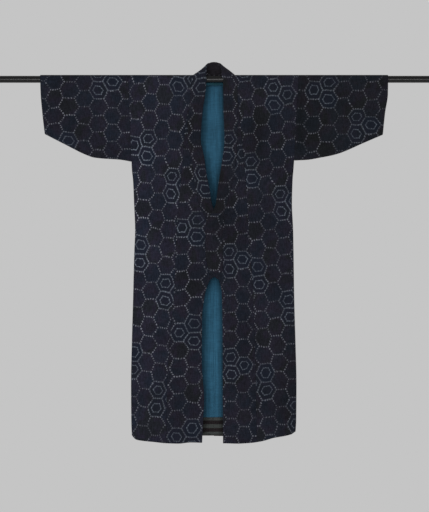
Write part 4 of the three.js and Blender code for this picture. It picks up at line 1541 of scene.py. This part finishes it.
def rod_paint():
    """Satin black paint, with faint unevenness in its shade and its gloss."""
    colours = bpy.context.scene.kimono_colours
    material, n, shader = new_material("Satin black rod")
    clouds = n.clouds(14, 4)
    shade = n.grey(n.step(clouds, 0.3, 0.7, 0.9, 1.1))
    n.feed(shader["Base Color"], n.times((*colours.rod, 1), shade))
    n.feed(shader["Roughness"], n.step(clouds, 0.3, 0.7, 0.28, 0.31))
    shader["Specular IOR Level"].default_value = 0.31
    return material


def linear(red, green, blue):
    """A colour given as 0 to 255 on screen, as shares of linear light: each value over 255, taken
    through the screen's curve."""
    screen = np.array([red, green, blue]) / 255
    values = np.where(screen <= 0.04045, screen / 12.92, ((screen + 0.055) / 1.055) ** 2.4)
    return tuple(float(value) for value in values)


def colour(name, description, *screen):
    """A colour to choose, whose default is given as 0 to 255 on screen."""
    return bpy.props.FloatVectorProperty(
        name=name, description=description, default=linear(*screen),
        size=3, min=0, max=1, subtype="COLOR",
    )


def power(name, description, watts):
    """The power of a light to choose."""
    return bpy.props.FloatProperty(
        name=name, description=description, default=watts, min=0, max=1000, unit="POWER",
    )


class KimonoColours(bpy.types.PropertyGroup):
    """Colours and threads of the cloths and the rod."""

    ground: colour("Ground", "Indigo ground of the outer cloth", 26, 27, 36)
    doubled_ground: colour("Doubled ground", "Ground inside the doubled hexagons", 19, 24, 36)
    # Painted shade: the collar's inside is the same cloth as outside, darkened for the shade inside
    # the neck
    collar_inside_painted_shade: colour("Collar inside", "Dark cloth on the collar's inside", 25, 23, 27)
    dots: colour("Dots", "Pale dots along the plain hexagons", 138, 141, 151)
    lines: colour("Lines", "Pale lines of the doubled hexagons", 121, 130, 142)
    lining: colour("Lining", "Blue lining", 43, 86, 110)
    facing_pale: colour("Pale stripe", "Pale stripes of the hem facing", 60, 63, 62)
    facing_dark: colour("Dark stripe", "Dark stripes of the hem facing", 31, 26, 28)
    rod: colour("Rod", "Satin paint of the rod", 5, 5, 6)
    inside_pattern: bpy.props.FloatProperty(
        name="Inside pattern", description="How clear the pattern is on the collar's inside",
        default=0.36, min=0, max=1,
    )
    threads: bpy.props.FloatProperty(
        name="Threads", description="Threads in a metre of the outer cloth",
        default=1100, min=200, max=4000,
    )


class KimonoStudio(bpy.types.PropertyGroup):
    """Camera, floor and light."""

    picture_height: bpy.props.FloatProperty(
        name="Picture height", description="Height that the camera takes in at the cloth",
        default=1.7625, min=0.5, max=5, unit="LENGTH",
    )
    distance: bpy.props.FloatProperty(
        name="Distance", description="From the camera to the cloth",
        default=12, min=2, max=20, unit="LENGTH",
    )
    aim: bpy.props.FloatVectorProperty(
        name="Aim", description="Place on the cloth in the middle of the picture",
        default=(0.0018, -0.017, -0.6091), size=3, subtype="TRANSLATION", unit="LENGTH",
    )
    floor: bpy.props.FloatProperty(
        name="Floor", description="Height of the floor",
        default=-1.9, min=-5, max=-1.3, unit="LENGTH",
    )
    grey: bpy.props.FloatProperty(
        name="Grey", description="Brightness of the plain surroundings, as seen",
        default=0.558, min=0, max=2,
    )
    ambient: bpy.props.FloatProperty(
        name="Ambient", description="Brightness of the light from all around",
        default=0.46, min=0, max=2,
    )
    key: power("Key light", "Power of the large light on the left", 105)
    fill: power("Fill light", "Power of the large light on the right", 24)
    front: power("Front light", "Power of the wide light in front", 58)
    back: power("Back light", "Power of the large light behind", 210)
    back_fill: power("Back fill light", "Power of the other light behind", 60)


# Studio, in metres

LARGE_LIGHT = (2.6, 2.6)
WIDE_LIGHT = (2.1, 0.5)
FLOOR_RADIUS = 5.2
FLOOR_SIDES = 128


def add_light(name, place, aim, size, watts):
    """A soft light, of a width and a height, that faces its aim."""
    data = bpy.data.lights.new(name, "AREA")
    data.shape = "RECTANGLE"
    data.size, data.size_y = size
    data.energy = watts
    lamp = bpy.data.objects.new(name, data)
    lamp.location = place
    lamp.rotation_euler = look(place, aim)
    bpy.context.scene.collection.objects.link(lamp)


def look(place, aim):
    """The turn of a lamp that stands at a place and faces its aim."""
    return (Vector(aim) - Vector(place)).to_track_quat("-Z", "Y").to_euler()


def make_floor(height):
    """A plain pale disc, far below the hem."""
    angle = np.arange(FLOOR_SIDES) * 2 * np.pi / FLOOR_SIDES
    x, y = FLOOR_RADIUS * np.cos(angle), FLOOR_RADIUS * np.sin(angle)
    mesh = bpy.data.meshes.new("studio_floor")
    mesh.from_pydata(np.stack([x, y, x * 0 + height], -1).tolist(), [], [list(range(FLOOR_SIDES))])
    material, n, shader = new_material("Pale floor")
    n.feed(shader["Base Color"], n.grey(n.step(n.clouds(3), 0.2, 0.8, 0.56, 0.6)))
    shader["Roughness"].default_value = 0.8
    mesh.materials.append(material)
    floor = bpy.data.objects.new("studio_floor", mesh)
    bpy.context.scene.collection.objects.link(floor)


def make_surroundings(studio):
    """Plain grey all round. The light it gives is weaker than it looks, so that the large lights show
    the folds."""
    world = bpy.data.worlds.new("Plain studio")
    world.use_nodes = True
    n = Nodes(world.node_tree)
    seen = n.add("ShaderNodeLightPath").outputs["Is Camera Ray"]
    strength = n.math("MULTIPLY_ADD", seen, studio.grey - studio.ambient, studio.ambient)
    n.feed(world.node_tree.nodes["Background"].inputs["Color"], n.grey(strength))
    bpy.context.scene.world = world


def make_camera(studio):
    """A long lens, level with the place it looks at."""
    aim = tuple(studio.aim)
    data = bpy.data.cameras.new("camera")
    data.lens = data.sensor_width * studio.distance / studio.picture_height
    data.clip_end = 100
    camera = bpy.data.objects.new("camera", data)
    camera.location = (aim[0], aim[1] - studio.distance, aim[2])
    camera.rotation_euler = (math.pi / 2, 0, 0)
    bpy.context.scene.collection.objects.link(camera)
    bpy.context.scene.camera = camera


# Operators

class KIMONO_OT_rod(bpy.types.Operator):
    """Makes the rod."""

    bl_idname = "kimono.rod"
    bl_label = "Rod"

    def execute(self, context):
        make_rod()
        return {"FINISHED"}


class KIMONO_OT_bodies(bpy.types.Operator):
    """Makes both halves of the body."""

    bl_idname = "kimono.bodies"
    bl_label = "Body"

    def execute(self, context):
        for half in HALVES:
            make_body(half)
        return {"FINISHED"}


class KIMONO_OT_sleeves(bpy.types.Operator):
    """Makes both sleeves."""

    bl_idname = "kimono.sleeves"
    bl_label = "Sleeves"

    def execute(self, context):
        for half in HALVES:
            make_sleeve(half)
        return {"FINISHED"}


class KIMONO_OT_overlap_panels(bpy.types.Operator):
    """Makes both overlap panels."""

    bl_idname = "kimono.overlap_panels"
    bl_label = "Overlap panels"

    def execute(self, context):
        for half in HALVES:
            make_overlap(half)
        return {"FINISHED"}


class KIMONO_OT_collar(bpy.types.Operator):
    """Makes the collar."""

    bl_idname = "kimono.collar"
    bl_label = "Collar"

    def execute(self, context):
        make_collar()
        return {"FINISHED"}


class KIMONO_OT_linings(bpy.types.Operator):
    """Makes the lining and the hem facing of both halves of the back."""

    bl_idname = "kimono.linings"
    bl_label = "Lining and facing"

    def execute(self, context):
        for half in HALVES:
            make_lining(half)
            make_facing(half)
        return {"FINISHED"}


class KIMONO_OT_studio(bpy.types.Operator):
    """Makes the floor, the light and the camera."""

    bl_idname = "kimono.studio"
    bl_label = "Studio"

    def execute(self, context):
        studio = context.scene.kimono_studio
        aim = tuple(studio.aim)
        make_floor(studio.floor)
        make_surroundings(studio)
        add_light("key_light", (-3.6, -3.6, 1.7), aim, LARGE_LIGHT, studio.key)
        add_light("fill_light", (3.2, -4.2, 0.4), aim, LARGE_LIGHT, studio.fill)
        add_light("front_light", (-0.05, -4.3, -0.45), (-0.05, 0, 0), WIDE_LIGHT, studio.front)
        add_light("back_light", (3.4, 3.6, 1.5), aim, LARGE_LIGHT, studio.back)
        add_light("back_fill_light", (-3.4, 4.0, 0.4), aim, LARGE_LIGHT, studio.back_fill)
        make_camera(studio)
        context.scene.view_settings.view_transform = "Standard"
        return {"FINISHED"}


class KIMONO_PT_pieces(bpy.types.Panel):
    """Lists the operators, the colours and the studio's values."""

    bl_label = "Kimono"
    bl_idname = "KIMONO_PT_pieces"
    bl_space_type = "VIEW_3D"
    bl_region_type = "UI"
    bl_category = "Kimono"

    def draw(self, context):
        for operator in OPERATORS:
            self.layout.operator(operator.bl_idname)
        for group in (context.scene.kimono_colours, context.scene.kimono_studio):
            for key in group.bl_rna.properties.keys():
                if key not in ("rna_type", "name"):
                    self.layout.prop(group, key)


OPERATORS = (
    KIMONO_OT_studio,
    KIMONO_OT_rod,
    KIMONO_OT_bodies,
    KIMONO_OT_sleeves,
    KIMONO_OT_overlap_panels,
    KIMONO_OT_collar,
    KIMONO_OT_linings,
)
CLASSES = (KimonoColours, KimonoStudio, *OPERATORS, KIMONO_PT_pieces)


def register():
    for item in CLASSES:
        bpy.utils.register_class(item)
    bpy.types.Scene.kimono_colours = bpy.props.PointerProperty(type=KimonoColours)
    bpy.types.Scene.kimono_studio = bpy.props.PointerProperty(type=KimonoStudio)


def unregister():
    del bpy.types.Scene.kimono_studio
    del bpy.types.Scene.kimono_colours
    for item in reversed(CLASSES):
        bpy.utils.unregister_class(item)


def main():
    """Makes everything."""
    register()
    bpy.ops.kimono.studio()
    bpy.ops.kimono.rod()
    bpy.ops.kimono.bodies()
    bpy.ops.kimono.sleeves()
    bpy.ops.kimono.overlap_panels()
    bpy.ops.kimono.collar()
    bpy.ops.kimono.linings()


if __name__ == "__main__":
    main()
